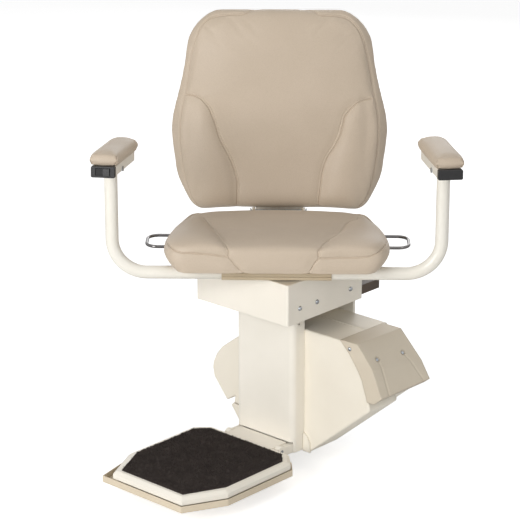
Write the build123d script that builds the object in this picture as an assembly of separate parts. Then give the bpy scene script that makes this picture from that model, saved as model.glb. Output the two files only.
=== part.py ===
from build123d import *
import math
import os

# Stairlift chair. Origin on the centreline of the stair rail, +X up along the stairs,
# +Y towards the wall, +Z up. All sizes in millimetres.

# Rail that the carriage rides on (the rail itself is not part of the chair)
rail_slope = 40.0
rail_height = 70.0
roller_radius = 15.0
roller_width = 40.0
roller_pitch = 200.0
axle_radius = 4.0
axle_head_radius = 7.5
pinion_module = 4.0
pinion_teeth = 14
pinion_width = 24.0
pressure_angle = math.radians(20)
shaft_radius = 8.0

# Fits
running_fit = 0.06
sliding_fit = 0.08
part_gap = 0.3

# Chassis
chassis_y = -32.0
chassis_thickness = 6.0
chassis_half_width = 83.5
chassis_margin = 24.0

# Swivel housing on top of the column
housing_width = 237.0
housing_x = -3.5
housing_depth = 220.0
housing_height = 82.0
housing_bottom = 200.0
housing_front_y = -262.0
housing_wall = 2.5
housing_bolt_height = 28.0
housing_bolt_setbacks = (34.8, 84.4, 183.2)
bolt_head_radius = 4.8
bolt_radius = 3.0
frame_web = 8.0
frame_flange = 5.0

# Swivel
swivel_x = -5.0
swivel_y = -157.0
swivel_rest = 41.2
swivel_stops = (-40.0, 20.0, 50.0)
spindle_radius = 17.0
turntable_radius = 75.0
turntable_thickness = 3.4
latch_reach = 50.0
latch_radius = 4.0

# Column and its post
column_half_width = 75.0
column_front_y = -200.0
column_bottom = -92.0
column_wall = 3.0
column_edge_radius = 12.0
post_width = 50.0
post_depth = 60.0
post_wall = 4.0
post_bottom = -60.0

# Carriage covers
cover_front_y = -167.0
cover_wall = 3.0
cover_top = 159.0
cover_bottom = -94.0
cover_split_y = -88.0
rear_cover_lift = 14.0
cover_lip = 1.2
seam_gap = 0.5
end_wall_well_radius = 5.5

# Drive and batteries behind the covers
gearbox_half = 33.0
gearbox_depth = 78.0
motor_up = -82.0
motor_radius = 28.0
motor_length = 90.0
battery_length = 151.0
battery_width = 65.0
battery_height = 94.0
upper_battery_x = 28.0
upper_battery_z = 49.0
lower_battery_x = -36.0
lower_battery_z = -60.0
tray_thickness = 3.0
tray_lip = 17.0

# Footrest
mat_half_width = 118.0
mat_front_y = -514.0
mat_rear_y = -254.0
mat_top = -68.6
mat_thickness = 3.0
mat_stand = 0.8
rim_width = 13.5
rim_bevel = 7.0
platform_thickness = 15.0
pan_height = 13.0
pan_step = 3.2
pan_wall = 1.6
pan_rear_y = -243.0
pan_gap = 0.6
pan_travel = 4.0
pan_left_toe = 14.0
footrest_pin_y = -228.0
footrest_pin_z = -80.0
footrest_pin_radius = 4.0
hinge_ear_thickness = 12.0
hinge_ear_radius = 11.0

# Seat frame
bracket_bottom = 286.4
bracket_plate = 3.0
bracket_half_width = 103.0
bracket_front_y = -144.0
front_plate_rise = 2.5
bracket_tail = 36.0
spine_half_width = 50.0
cheek_thickness = 3.0
arm_tube_radius = 12.5
arm_tube_wall = 2.0
arm_socket_wall = 1.8
arm_tube_y = -130.0
arm_tube_z = 298.5
arm_half_span = 308.0
arm_bend_radius = 65.0
arm_tube_inner_end = 48.0
arm_tube_top = 492.0
ferrule_height = 3.0
ferrule_radius = 12.9
seat_hinge_setback = 21.0
seat_hinge_z = 322.0
seat_hinge_radius = 4.0
hinge_strap = 3.0

# Seat board and cushion
seat_front_y = -195.0
seat_front_z = 318.0
seat_rake = 4.2
seat_length = 352.0
board_thickness = 9.0
board_rise = 5.0

# Back
back_gap = 15.0
back_bottom_z = 335.0
back_recline = 8.8
back_rest_depth = 52.0
back_plate_thickness = 6.0
back_plate_half_width = 47.0
back_plate_flange = 22.0
belt_anchor_radius = 5.25
belt_anchor_drop = 22.0
back_plate_top = 300.0
back_bolt_radius = 7.0

# Armrests
armrest_pivot_z = 501.5
armrest_toe = 7.2
armrest_tilt_left = 4.0
armrest_tilt_right = 6.5
carrier_width = 45.0
carrier_height = 17.7
carrier_length = 170.0
carrier_front = 58.0
carrier_wall = 2.5
carrier_pin_drop = 3.2
armrest_pin_radius = 3.0
tongue_half_width = 8.0
tongue_radius = 9.0
pad_width = 60.0
pad_length = 200.0
pad_height = 27.0
pad_front = 66.0
cap_depth = 10.0
cap_height_left = 19.0
cap_height_right = 21.0
rocker_width = 25.0
rocker_height = 13.0
rocker_side_gap = 1.1
rocker_pin_radius = 1.5
rocker_pin_length = 17.0

# Swivel levers
lever_rod_radius = 3.2
lever_pivot_radius = 3.0
lever_reach = 257.5
lever_pivot_x = 62.0
lever_front_y = 47.0
lever_rear_y = 118.0
lever_bend_radius = 22.0
lever_z = 289.6
lever_finger = 2.4

# Worked out from the sizes above
slope_cos = math.cos(math.radians(rail_slope))
slope_sin = math.sin(math.radians(rail_slope))
housing_top = housing_bottom + housing_height
housing_rear_y = housing_front_y + housing_depth
chassis_back_y = chassis_y + chassis_thickness
turntable_bottom = bracket_bottom - turntable_thickness
frame_web_top = housing_top - housing_wall
seat_hinge_y = seat_front_y + seat_length + seat_hinge_setback
bracket_rear_y = seat_hinge_y + bracket_tail
back_front_y = seat_front_y + seat_length + back_gap
seat_place = Pos(swivel_x, swivel_y, 0) * Rot(0, 0, swivel_rest)
board_place = Pos(0, seat_front_y, seat_front_z) * Rot(-seat_rake, 0, 0)
back_place = Pos(0, back_front_y, back_bottom_z) * Rot(-back_recline, 0, 0)
nodes = {}


def on_slope(along, up):
    return (along * slope_cos - up * slope_sin, along * slope_sin + up * slope_cos)


def slab_x(face, x0, x1):
    """Outline drawn in (y, z), solid between two x positions."""
    return extrude(Plane.YZ.offset(x0) * face, x1 - x0)


def slab_y(face, y0, y1):
    """Outline drawn in (x, z), solid between two y positions."""
    return extrude(Plane.XZ.offset(-y1) * face, y1 - y0)


def slab_z(face, z0, z1):
    """Outline drawn in (x, y), solid between two heights."""
    return extrude(Plane.XY.offset(z0) * face, z1 - z0)


def outline(points, radius=0.0):
    face = make_face(Polyline(*points, close=True))
    if radius > 0:
        face = fillet(face.vertices(), radius)
    return face


def block(x0, x1, y0, y1, z0, z1):
    return Pos((x0 + x1) / 2, (y0 + y1) / 2, (z0 + z1) / 2) * Box(x1 - x0, y1 - y0, z1 - z0)


def rod_x(radius, x0, x1, y, z):
    return Pos((x0 + x1) / 2, y, z) * Rot(0, 90, 0) * Cylinder(radius, x1 - x0)


def rod_y(radius, y0, y1, x, z):
    return Pos(x, (y0 + y1) / 2, z) * Rot(90, 0, 0) * Cylinder(radius, y1 - y0)


def rod_z(radius, z0, z1, x=0.0, y=0.0):
    return Pos(x, y, (z0 + z1) / 2) * Cylinder(radius, z1 - z0)


def dome_screw(radius, height):
    """Domed head standing on the XY plane."""
    head = Sphere(radius)
    head = scale(head, by=(1, 1, height / radius))
    return head & Pos(0, 0, height / 2) * Box(4 * radius, 4 * radius, height)


# ---- chassis, rollers and drive ----

def roller_places():
    up = rail_height / 2 + roller_radius
    return [on_slope(a * roller_pitch / 2, u * up) for a in (-1, 1) for u in (-1, 1)]


pinion_pitch_radius = pinion_module * pinion_teeth / 2
pinion_x, pinion_z = on_slope(0, -(rail_height / 2 + pinion_pitch_radius))


def chassis_plate():
    length = roller_pitch + 2 * chassis_margin
    height = rail_height + 2 * roller_radius + 2 * chassis_margin
    band = fillet((Rot(0, 0, rail_slope) * Rectangle(length, height)).vertices(), chassis_margin * 0.8)
    upright = Pos(0, housing_bottom / 2) * Rectangle(2 * chassis_half_width, housing_bottom)
    plate = slab_y(band + upright, chassis_y, chassis_back_y)
    shelf_front = swivel_y + post_depth / 2
    plate += block(-chassis_half_width, chassis_half_width, shelf_front, chassis_back_y,
                   housing_bottom - chassis_thickness, housing_bottom)
    for x, z in roller_places():
        plate -= rod_y(axle_radius, chassis_y - 1, chassis_back_y + 1, x, z)
    return plate - rod_y(shaft_radius + 1, chassis_y - 1, chassis_back_y + 1, pinion_x, pinion_z)


def seat_post():
    y0, y1 = swivel_y - post_depth / 2, swivel_y + post_depth / 2
    x0, x1 = swivel_x - post_width / 2, swivel_x + post_width / 2
    top = frame_web_top - frame_web
    post = block(x0, x1, y0, y1, post_bottom, top)
    post -= block(x0 + post_wall, x1 - post_wall, y0 + post_wall, y1 - post_wall, post_bottom - 1, top + 1)
    for x in (x0, x1 - post_wall):
        web = outline([(y1, 10), (chassis_y, 10), (chassis_y, 120), (y1, 150)])
        post += slab_x(web, x, x + post_wall)
    return post


def swivel_frame():
    inner = housing_width / 2 - housing_wall
    y0, y1 = housing_front_y + 7, housing_rear_y - 7
    frame = block(housing_x - inner, housing_x + inner, y0, y1, frame_web_top - frame_web, frame_web_top)
    for side in (-1, 1):
        a, b = sorted((housing_x + side * inner, housing_x + side * (inner - frame_flange)))
        frame += block(a, b, y0, y1, housing_bottom + 8, frame_web_top)
    for y in bolt_rows():
        frame -= rod_x(bolt_radius, housing_x - inner - 1, housing_x + inner + 1, y,
                       housing_bottom + housing_bolt_height)
    return frame - rod_z(spindle_radius + running_fit, housing_bottom, housing_top, swivel_x, swivel_y)


def bolt_rows():
    return [housing_front_y + s for s in housing_bolt_setbacks]


def latch_places():
    """Index holes under the latch pin, one for each stop of the swivel."""
    places = []
    for stop in swivel_stops:
        turn = math.radians(swivel_rest + stop + 90)
        places.append((swivel_x + latch_reach * math.cos(turn), swivel_y + latch_reach * math.sin(turn)))
    return places


def swivel_housing():
    mid_y = (housing_front_y + housing_rear_y) / 2
    mid_z = (housing_bottom + housing_top) / 2
    shell = Pos(housing_x, mid_y, mid_z) * Box(housing_width, housing_depth, housing_height)
    shell = fillet(shell.edges().filter_by(Axis.Z), 4)
    shell = fillet(shell.edges().group_by(Axis.Z)[-1], housing_wall * 0.8)
    inside = Pos(housing_x, mid_y, mid_z - housing_wall) * Box(
        housing_width - 2 * housing_wall, housing_depth - 2 * housing_wall, housing_height)
    shell -= inside
    shell -= rod_z(spindle_radius + 2, housing_top - 5, housing_top + 1, swivel_x, swivel_y)
    for x, y in latch_places():
        shell -= rod_z(latch_radius + 0.6, housing_top - 5, housing_top + 1, x, y)
    half = housing_width / 2
    for y in bolt_rows():
        shell -= rod_x(bolt_radius, housing_x - half - 1, housing_x + half + 1, y,
                       housing_bottom + housing_bolt_height)
    return shell


def housing_bolts():
    bolts = []
    half = housing_width / 2
    z = housing_bottom + housing_bolt_height
    for side in (-1, 1):
        for y in bolt_rows():
            face = housing_x + side * half
            head = Pos(face, y, z) * Rot(0, side * 90, 0) * dome_screw(bolt_head_radius, 3.4)
            a, b = sorted((face, face - side * (housing_wall + frame_flange + 4)))
            bolts.append(head + rod_x(bolt_radius, a, b, y, z))
    return Compound(children=bolts)


def rear_channels():
    """Pair of lipped channels that carry the housing's rear wall out over the rail."""
    channels = []
    height, depth, lip, wall = 19.0, 26.0, 6.0, 2.5
    z0 = housing_bottom + 6
    for side in (-1, 1):
        edge = housing_x + side * (housing_width / 2 - 3)
        web = block(*sorted((edge, edge - side * wall)), housing_rear_y, housing_rear_y + 55, z0, z0 + height)
        for z in (z0, z0 + height - wall):
            a, b = sorted((edge, edge - side * depth))
            web += block(a, b, housing_rear_y, housing_rear_y + 55, z, z + wall)
        web += block(*sorted((edge - side * depth, edge - side * (depth - wall))),
                     housing_rear_y, housing_rear_y + 55, z0 + height - lip, z0 + height)
        channels.append(web)
    return Compound(children=channels)


def guide_roller(x, z):
    half = roller_width / 2
    bore, tread = axle_radius + running_fit, roller_radius
    profile = outline([(bore, -half), (tread - 1.5, -half), (tread, -half + 1.5), (tread, half - 1.5),
                       (tread - 1.5, half), (bore, half)])
    return Pos(x, 0, z) * Rot(90, 0, 0) * revolve(Plane.XZ * profile, Axis.Z)


def roller_axles():
    axles = []
    half = roller_width / 2
    for x, z in roller_places():
        axle = rod_y(axle_radius, chassis_y - 6, half + 5, x, z)
        head = extrude(RegularPolygon(axle_head_radius, 6), 3, both=True)
        axle += Pos(x, chassis_y - 3, z) * Rot(90, 0, 0) * head
        axle += rod_y(6.5, chassis_back_y, -half - part_gap, x, z)
        axle += rod_y(axle_head_radius, half + part_gap, half + part_gap + 2, x, z)
        axles.append(axle)
    return Compound(children=axles)


def drive_pinion():
    """Spur pinion with involute flanks, fixed to the gearbox shaft."""
    base = pinion_pitch_radius * math.cos(pressure_angle)
    tip = pinion_pitch_radius + pinion_module
    root = pinion_pitch_radius - 1.25 * pinion_module
    half_tooth = math.pi / (2 * pinion_teeth) + math.tan(pressure_angle) - pressure_angle
    points = []
    for tooth in range(pinion_teeth):
        middle = 2 * math.pi * tooth / pinion_teeth
        flank = []
        for step in range(5):
            radius = base + (tip - base) * step / 4
            roll = math.sqrt(max((radius / base) ** 2 - 1, 0))
            flank.append((radius, half_tooth - (roll - math.atan(roll))))
        left = [(root, half_tooth + 0.04)] + flank
        for radius, angle in left:
            points.append((radius * math.cos(middle - angle), radius * math.sin(middle - angle)))
        for radius, angle in reversed(left):
            points.append((radius * math.cos(middle + angle), radius * math.sin(middle + angle)))
    gear = extrude(outline(points), pinion_width / 2, both=True)
    gear = Pos(pinion_x, 0, pinion_z) * Rot(90, 0, 0) * gear
    shaft_end = chassis_y - 30
    gear += rod_y(shaft_radius, shaft_end, pinion_width / 2, pinion_x, pinion_z)
    return gear + rod_y(15, pinion_width / 2, pinion_width / 2 + 4, pinion_x, pinion_z)


def slope_box(a0, a1, u0, u1, y0, y1, radius=0.0):
    face = Pos(*on_slope((a0 + a1) / 2, (u0 + u1) / 2)) * Rot(0, 0, rail_slope) * Rectangle(a1 - a0, u1 - u0)
    if radius > 0:
        face = fillet(face.vertices(), radius)
    return slab_y(face, y0, y1)


def gearbox():
    top = -(rail_height / 2 + pinion_pitch_radius) + gearbox_half - 2
    box = slope_box(-gearbox_half, gearbox_half, motor_up - 9, top, chassis_y - gearbox_depth, chassis_y, 6)
    box -= rod_y(shaft_radius + running_fit, chassis_y - 32, chassis_y + 1, pinion_x, pinion_z)
    return box


def drive_motor():
    start = on_slope(gearbox_half, motor_up)
    place = Pos(start[0], chassis_y - 44, start[1]) * Rot(0, 90 - rail_slope, 0)
    motor = place * Pos(0, 0, motor_length / 2) * Cylinder(motor_radius, motor_length)
    motor += place * Pos(0, 0, 4) * Cylinder(motor_radius + 3, 8)
    return motor + place * Pos(0, 0, motor_length + 6) * Cylinder(motor_radius - 8, 12)


def batteries():
    """One battery lies behind the upper cover, the other stands in the lower end."""
    x0, x1, z0 = upper_battery_x, upper_battery_x + battery_length, upper_battery_z
    upper = block(x0, x1, -130, -130 + battery_width, z0, z0 + battery_height)
    lower = block(lower_battery_x - battery_width, lower_battery_x, -138, -138 + battery_height,
                  lower_battery_z, lower_battery_z + battery_length)
    upper = fillet(upper.edges().filter_by(Axis.Z), 3)
    lower = fillet(lower.edges().filter_by(Axis.Z), 3)
    for x in (x0 + 16, x1 - 16):
        upper += block(x - 3, x + 3, -100, -88, z0 + battery_height, z0 + battery_height + 0.8)
    return Compound(children=[upper, lower])


def tray(x0, x1, front, z):
    shelf = block(x0, x1, front, chassis_y, z - tray_thickness, z)
    return shelf + block(x0, x1, front, front + tray_thickness - 1, z - tray_thickness, z + tray_lip)


def battery_tray():
    upper = tray(upper_battery_x - 2, upper_battery_x + battery_length + 2, -133, upper_battery_z)
    lower = tray(lower_battery_x - battery_width - 2, lower_battery_x + 1, -141, lower_battery_z)
    return Compound(children=[upper, lower])


def control_board():
    board = block(32, 84, -58, -56.4, 60, 140)
    board += block(38, 60, -63, -58, 70, 96)
    board += block(66, 78, -64, -58, 76, 130)
    for x in (36, 80):
        for z in (64, 136):
            board += rod_y(2.5, -56.4, chassis_y, x, z)
    return board


# ---- covers ----

def main_outline(inset=0.0, lift=0.0):
    """Front outline of the carriage cover, its lower edge parallel to the rail and raised by lift."""
    points = [(-78, 114), (-24, cover_top), (167.9, cover_top), (189.3, 138.7), (211.9, 108.5), (221.1, 92.6),
              (240.7 - 0.26 * lift, 33.4 + 0.78 * lift), (89.8 - 1.18 * lift, cover_bottom),
              (-78, cover_bottom)]
    face = outline(points)
    face = fillet(face.vertices().group_by(Axis.X)[-1], 8)
    if inset:
        face = offset(face, -inset, kind=Kind.INTERSECTION)
    return face


def post_window():
    """Clear way for the post through the cover, hidden by the column."""
    x0, x1 = swivel_x - post_width / 2 - 6, swivel_x + post_width / 2 + 6
    return block(x0, x1, cover_front_y - 1, swivel_y + post_depth / 2 + 6, post_bottom - 6, cover_top + 1)


def lower_doorway():
    """The cover is open towards the lower end cover."""
    return block(-80, -78 + cover_wall, cover_front_y + cover_wall, chassis_y + 1,
                 cover_bottom + cover_wall, 108)


def main_cover():
    cover = slab_y(main_outline(), cover_front_y, cover_split_y)
    cover = chamfer(cover.faces().sort_by(Axis.Y)[0].edges(), 2)
    cover -= slab_y(main_outline(cover_wall), cover_front_y + cover_wall, cover_split_y + 1)
    lip = slab_y(offset(main_outline(), cover_lip, kind=Kind.INTERSECTION), cover_split_y - 3, cover_split_y)
    lip -= slab_y(main_outline(cover_wall), cover_split_y - 4, cover_split_y + 1)
    lip &= block(80, 167, cover_split_y - 4, cover_split_y + 1, cover_top - 10, cover_top + 5)
    return cover + lip - post_window() - lower_doorway()


def rear_cover():
    """Rear half of the cover; its lower edge is higher, with a return that meets the front half."""
    inner = main_outline(cover_wall, rear_cover_lift)
    cover = slab_y(main_outline(0, rear_cover_lift), cover_split_y, chassis_y)
    cover += slab_y(main_outline(), cover_split_y, cover_split_y + cover_wall)
    cover -= slab_y(inner, cover_split_y - 1, chassis_y + 1)
    slot = block(-chassis_half_width, chassis_half_width, chassis_y - 0.5, chassis_y + 1, 150, cover_top + 1)
    return cover - slot - post_window() - lower_doorway()


end_front = ((150, 20), (150, 162), (209, 163.5), (222, 150), (247, 121), (271, 68), (244, 45))
end_rear = ((150, 20), (150, 161), (212, 161.5), (240, 134), (264, 110), (285.5, 76.5), (250, 47))
end_front_y = cover_front_y - 3
end_rear_y = -42.0
end_shrink = ((0, 0), (0, 0), (1, 1), (1, 1), (1, 1), (1, 0), (0, 2))


def end_wall(inset):
    """Upper end moulding: narrower at the front, flared towards the wall side."""
    wires = []
    for profile, y in ((end_front, end_front_y + inset), (end_rear, end_rear_y + (1 if inset else 0))):
        points = [Vector(x - inset * a, y, z - inset * b) for (x, z), (a, b) in zip(profile, end_shrink)]
        wires.append(Wire.make_polygon(points, close=True))
    return Solid.make_loft(wires, ruled=True)


def on_end_face(edge, share, y):
    """Point on the end moulding, a share of the way along one edge of its profile."""
    t = (y - end_front_y) / (end_rear_y - end_front_y)
    ends = []
    for k in (edge, edge + 1):
        (xf, zf), (xr, zr) = end_front[k], end_rear[k]
        ends.append(Vector(xf + (xr - xf) * t, y, zf + (zr - zf) * t))
    return ends[0] + (ends[1] - ends[0]) * share


front_screw = (191.0, 149.0)
screw_radius = 2.0
well_depth = 1.6
flute_radius = 5.0
flute_depth = 0.8
well_normal = Vector(0.766, 0, 0.643)
well_tops = (on_end_face(3, 0.49, -143.4), on_end_face(3, 0.36, -74.3))
flute_bends = (on_end_face(4, 0.0, -145.5), on_end_face(4, 0.0, -69.0))
flute_feet = (on_end_face(4, 0.99, -150.0), on_end_face(4, 0.99, -57.5))


def flute(start, end):
    """Shallow round-bottomed channel between two points of the moulding's face."""
    run = (end - start).normalized()
    outward = Vector(-run.Z, 0, run.X).normalized() * (flute_radius - flute_depth)
    return extrude(Plane(origin=start + outward, x_dir=Vector(0, 1, 0), z_dir=run) * Circle(flute_radius),
                   (end - start).length)


def upper_end_cover():
    cover = end_wall(0.0)
    cover = cover - end_wall(cover_wall)
    cover -= block(100, 300, -200, -30, -20, 52)
    cover -= slab_y(offset(main_outline(), seam_gap, kind=Kind.INTERSECTION), -200, 0)
    cover -= block(100, 167.5, -200, 0, 0, 200)
    for top, bend, foot in zip(well_tops, flute_bends, flute_feet):
        plane = Plane(origin=top, z_dir=well_normal)
        cover -= extrude(plane.offset(-well_depth) * Circle(end_wall_well_radius), 12)
        cover -= extrude(plane.offset(-8) * Circle(screw_radius + 0.2), 16)
        cover -= flute(top, bend)
        cover -= flute(bend, foot)
    return cover - rod_y(screw_radius, cover_front_y - 4, cover_front_y + 5, front_screw[0], front_screw[1])


def lower_end_cover():
    points = [(-79, 114), (-102, 98.5), (-143.5, 67), (-158.3, 48.5), (-167.3, 29), (-169.1, 16),
              (-165.5, -2), (-131, -43), (-126, -42), (-108, -30), (-110.6, -45), (-79, -46)]
    y0 = cover_front_y - 1.5
    cover = slab_y(outline(points), y0, chassis_y)
    cover = chamfer(cover.faces().sort_by(Axis.Y)[0].edges(), 1.5)
    inner = [(-70, 109), (-101.5, 94.5), (-141.5, 64.6), (-155.5, 47.2), (-164.3, 28), (-166, 16),
             (-162.5, -1), (-130, -39), (-126.5, -38.3), (-105, -24), (-106.5, -50), (-70, -50)]
    cover -= slab_y(outline(inner), y0 + cover_wall, chassis_y + 1)
    for x, z in roller_places():
        cover -= rod_y(axle_head_radius + 1, chassis_y - 7, chassis_y + 1, x, z)
    return cover


def lower_skirt():
    points = [(-79, -48), (-114, -47), (-119, -52), (-98, -79), (-79, cover_bottom)]
    cover = slab_y(outline(points), cover_front_y, chassis_y)
    inner = [(-70, -40), (-106.5, -40), (-112.5, -50), (-115.2, -52.6), (-96, -76.5), (-78, -90.5),
             (-70, -90.5)]
    return cover - slab_y(outline(inner), cover_front_y + cover_wall, chassis_y + 1)


def column_cover():
    half = column_half_width
    depth = cover_front_y - column_front_y
    face = Pos(0, (column_front_y + cover_front_y) / 2) * Rectangle(2 * half, depth)
    corners = face.vertices().group_by(Axis.Y)[0]
    face = fillet(corners, column_edge_radius)
    top = housing_bottom - part_gap
    cover = slab_z(face, column_bottom, top)
    middle = (column_front_y + cover_front_y) / 2 + column_wall
    inside = Pos(0, middle) * Rectangle(2 * (half - column_wall), depth)
    inside = fillet(inside.vertices().group_by(Axis.Y)[0], column_edge_radius - column_wall)
    cover -= slab_z(inside, column_bottom - 1, top + 1)
    cover -= rod_x(2.5, half - 6, half + 1, -182.5, 174)
    slot = half - column_wall
    ears = block(-slot, slot, column_front_y - 1, column_front_y + column_edge_radius + 2,
                 column_bottom - 1, footrest_pin_z + 10)
    return cover - ears


def column_foot():
    """Quarter-round moulding between column and cover, at the column's lower corner."""
    x0 = column_half_width
    face = outline([(x0 + part_gap, -56), (x0 + 8, -59), (x0 + 17, -74), (x0 + 19, cover_bottom),
                    (x0 + part_gap, cover_bottom)])
    return slab_y(face, cover_front_y - 4, cover_front_y - part_gap / 3)


def cover_screws():
    x, z = front_screw
    front = Pos(x, cover_front_y - 3, z) * Rot(90, 0, 0) * dome_screw(4.2, 2.6)
    screws = [front + rod_y(screw_radius, cover_front_y - 3, cover_front_y + 4, x, z)]
    for top in well_tops:
        place = Plane(origin=top, z_dir=well_normal).offset(-well_depth)
        screw = place.location * dome_screw(3.6, 1.8)
        screw += extrude(place * Circle(screw_radius), -6)
        screws.append(screw)
    return Compound(children=screws)


# ---- footrest ----

def footrest_outline(grow, left_toe=37.0):
    """Eight-sided deck outline: small chamfers at the column, long ones at the toes."""
    w, f, r = mat_half_width + grow, mat_front_y - grow, mat_rear_y + grow
    rear_cut = 24 + 0.4 * grow
    toe_x, toe_y = 37 + 0.3 * grow, 78 + 0.3 * grow
    left_x = left_toe + 0.3 * grow
    return make_face(Polyline((-w + left_x, f), (w - toe_x, f), (w, f + toe_y), (w, r - rear_cut),
                              (w - rear_cut, r), (-w + rear_cut, r), (-w, r - rear_cut), (-w, f + toe_y),
                              close=True))


deck_top = mat_top - mat_stand
deck_bottom = deck_top - platform_thickness
tongue_half = column_half_width - column_wall - hinge_ear_thickness - part_gap


def hinge_ears():
    half = column_half_width
    return [(half - column_wall - hinge_ear_thickness, half - column_wall),
            (-half + column_wall, -half + column_wall + hinge_ear_thickness)]


def footrest_bracket():
    bottom = footrest_pin_z - hinge_ear_radius
    bracket = None
    for x0, x1 in hinge_ears():
        ear = rod_x(hinge_ear_radius, x0, x1, footrest_pin_y, footrest_pin_z)
        ear += block(x0, x1, footrest_pin_y, cover_front_y - 3, bottom,
                     footrest_pin_z + hinge_ear_radius * 0.6)
        bracket = ear if bracket is None else bracket + ear
    x_out = column_half_width - column_wall
    bracket += block(-x_out, x_out, cover_front_y - 9, cover_front_y - part_gap, bottom, post_bottom)
    return bracket - rod_x(footrest_pin_radius, -x_out - 1, x_out + 1, footrest_pin_y, footrest_pin_z)


def footrest_pin():
    x_out = column_half_width - column_wall
    return rod_x(footrest_pin_radius, -x_out, x_out, footrest_pin_y, footrest_pin_z)


def footrest_platform():
    deck = slab_z(footrest_outline(rim_width), deck_bottom, deck_top)
    top_edges = deck.faces().sort_by(Axis.Z)[-1].edges()
    deck = chamfer(top_edges, rim_bevel * 0.8, rim_bevel)
    deck -= slab_z(footrest_outline(0), mat_top - mat_thickness, deck_top + 1)
    root = mat_rear_y + rim_width - 8
    tongue = block(-tongue_half, tongue_half, root, column_front_y - 3, deck_top - 5, deck_top - 1)
    tongue += rod_x(8, -tongue_half, tongue_half, footrest_pin_y, footrest_pin_z)
    tongue += block(-tongue_half, tongue_half, root, footrest_pin_y, deck_bottom, deck_top - 2)
    deck += tongue
    return deck - rod_x(footrest_pin_radius + running_fit, -80, 80, footrest_pin_y, footrest_pin_z)


def footrest_mat():
    return slab_z(footrest_outline(-0.2), mat_top - mat_thickness, mat_top)


def footrest_pan():
    """Shallow tray whose sides pass outside the rim and whose lower rear wall stays clear of the deck."""
    top = deck_bottom - pan_gap
    bottom = top - pan_height
    outer = footrest_outline(rim_width + pan_step, pan_left_toe)
    inner = footrest_outline(rim_width + pan_step - pan_wall, pan_left_toe)
    pan = slab_z(outer, bottom, top) - slab_z(inner, bottom + pan_wall, top + 1)
    pan -= block(-200, 200, pan_rear_y, 0, bottom - 1, top + 1)
    half = mat_half_width + rim_width + pan_step - (24 + 0.4 * (rim_width + pan_step))
    half -= pan_rear_y - (mat_rear_y + rim_width + pan_step)
    return pan + block(-half, half, pan_rear_y - pan_wall, pan_rear_y, bottom, top - pan_travel)


def pan_springs():
    """Four bent leaf springs that hold the safety pan down from the deck."""
    springs = []
    low = deck_bottom - pan_gap - pan_height + pan_wall
    high = deck_bottom
    mid = (low + high) / 2
    for x in (-80, 80):
        for y in (-460, -290):
            leaf = outline([(y - 14, high), (y - 14, high - 1), (y + 8, mid), (y - 14, low + 1),
                            (y - 14, low), (y - 4, low), (y + 12, mid), (y - 4, high)])
            springs.append(slab_x(leaf, x - 6, x + 6))
    return Compound(children=springs)


# ---- swivel and seat frame, drawn facing the front and turned into place ----

def turntable():
    disc = rod_z(turntable_radius, turntable_bottom, bracket_bottom)
    disc = chamfer(disc.edges().filter_by(GeomType.CIRCLE), 0.8)
    disc -= rod_z(spindle_radius, turntable_bottom - 1, bracket_bottom + 1)
    return disc - rod_z(latch_radius + 0.4, turntable_bottom - 1, bracket_bottom + 1, 0, latch_reach)


def thrust_ring():
    ring = rod_z(turntable_radius - 4, housing_top, turntable_bottom - 0.1, swivel_x, swivel_y)
    return ring - rod_z(latch_reach + 12, housing_top - 1, turntable_bottom + 1, swivel_x, swivel_y)


def spindle():
    web_bottom = frame_web_top - frame_web
    shaft = rod_z(spindle_radius, web_bottom - 12, bracket_bottom)
    nut = Pos(0, 0, web_bottom - part_gap - 9) * extrude(RegularPolygon(spindle_radius + 3, 6), 9)
    shaft = shaft + nut
    return shaft - rod_z(spindle_radius - 5, web_bottom - 20, bracket_bottom - 3)


def board_under(y):
    """Height of the seat board's underside at a distance behind the swivel axis."""
    return seat_front_z + board_rise - (y - seat_front_y) * math.tan(math.radians(seat_rake))


socket_outer = arm_tube_radius + sliding_fit + arm_socket_wall


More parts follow.
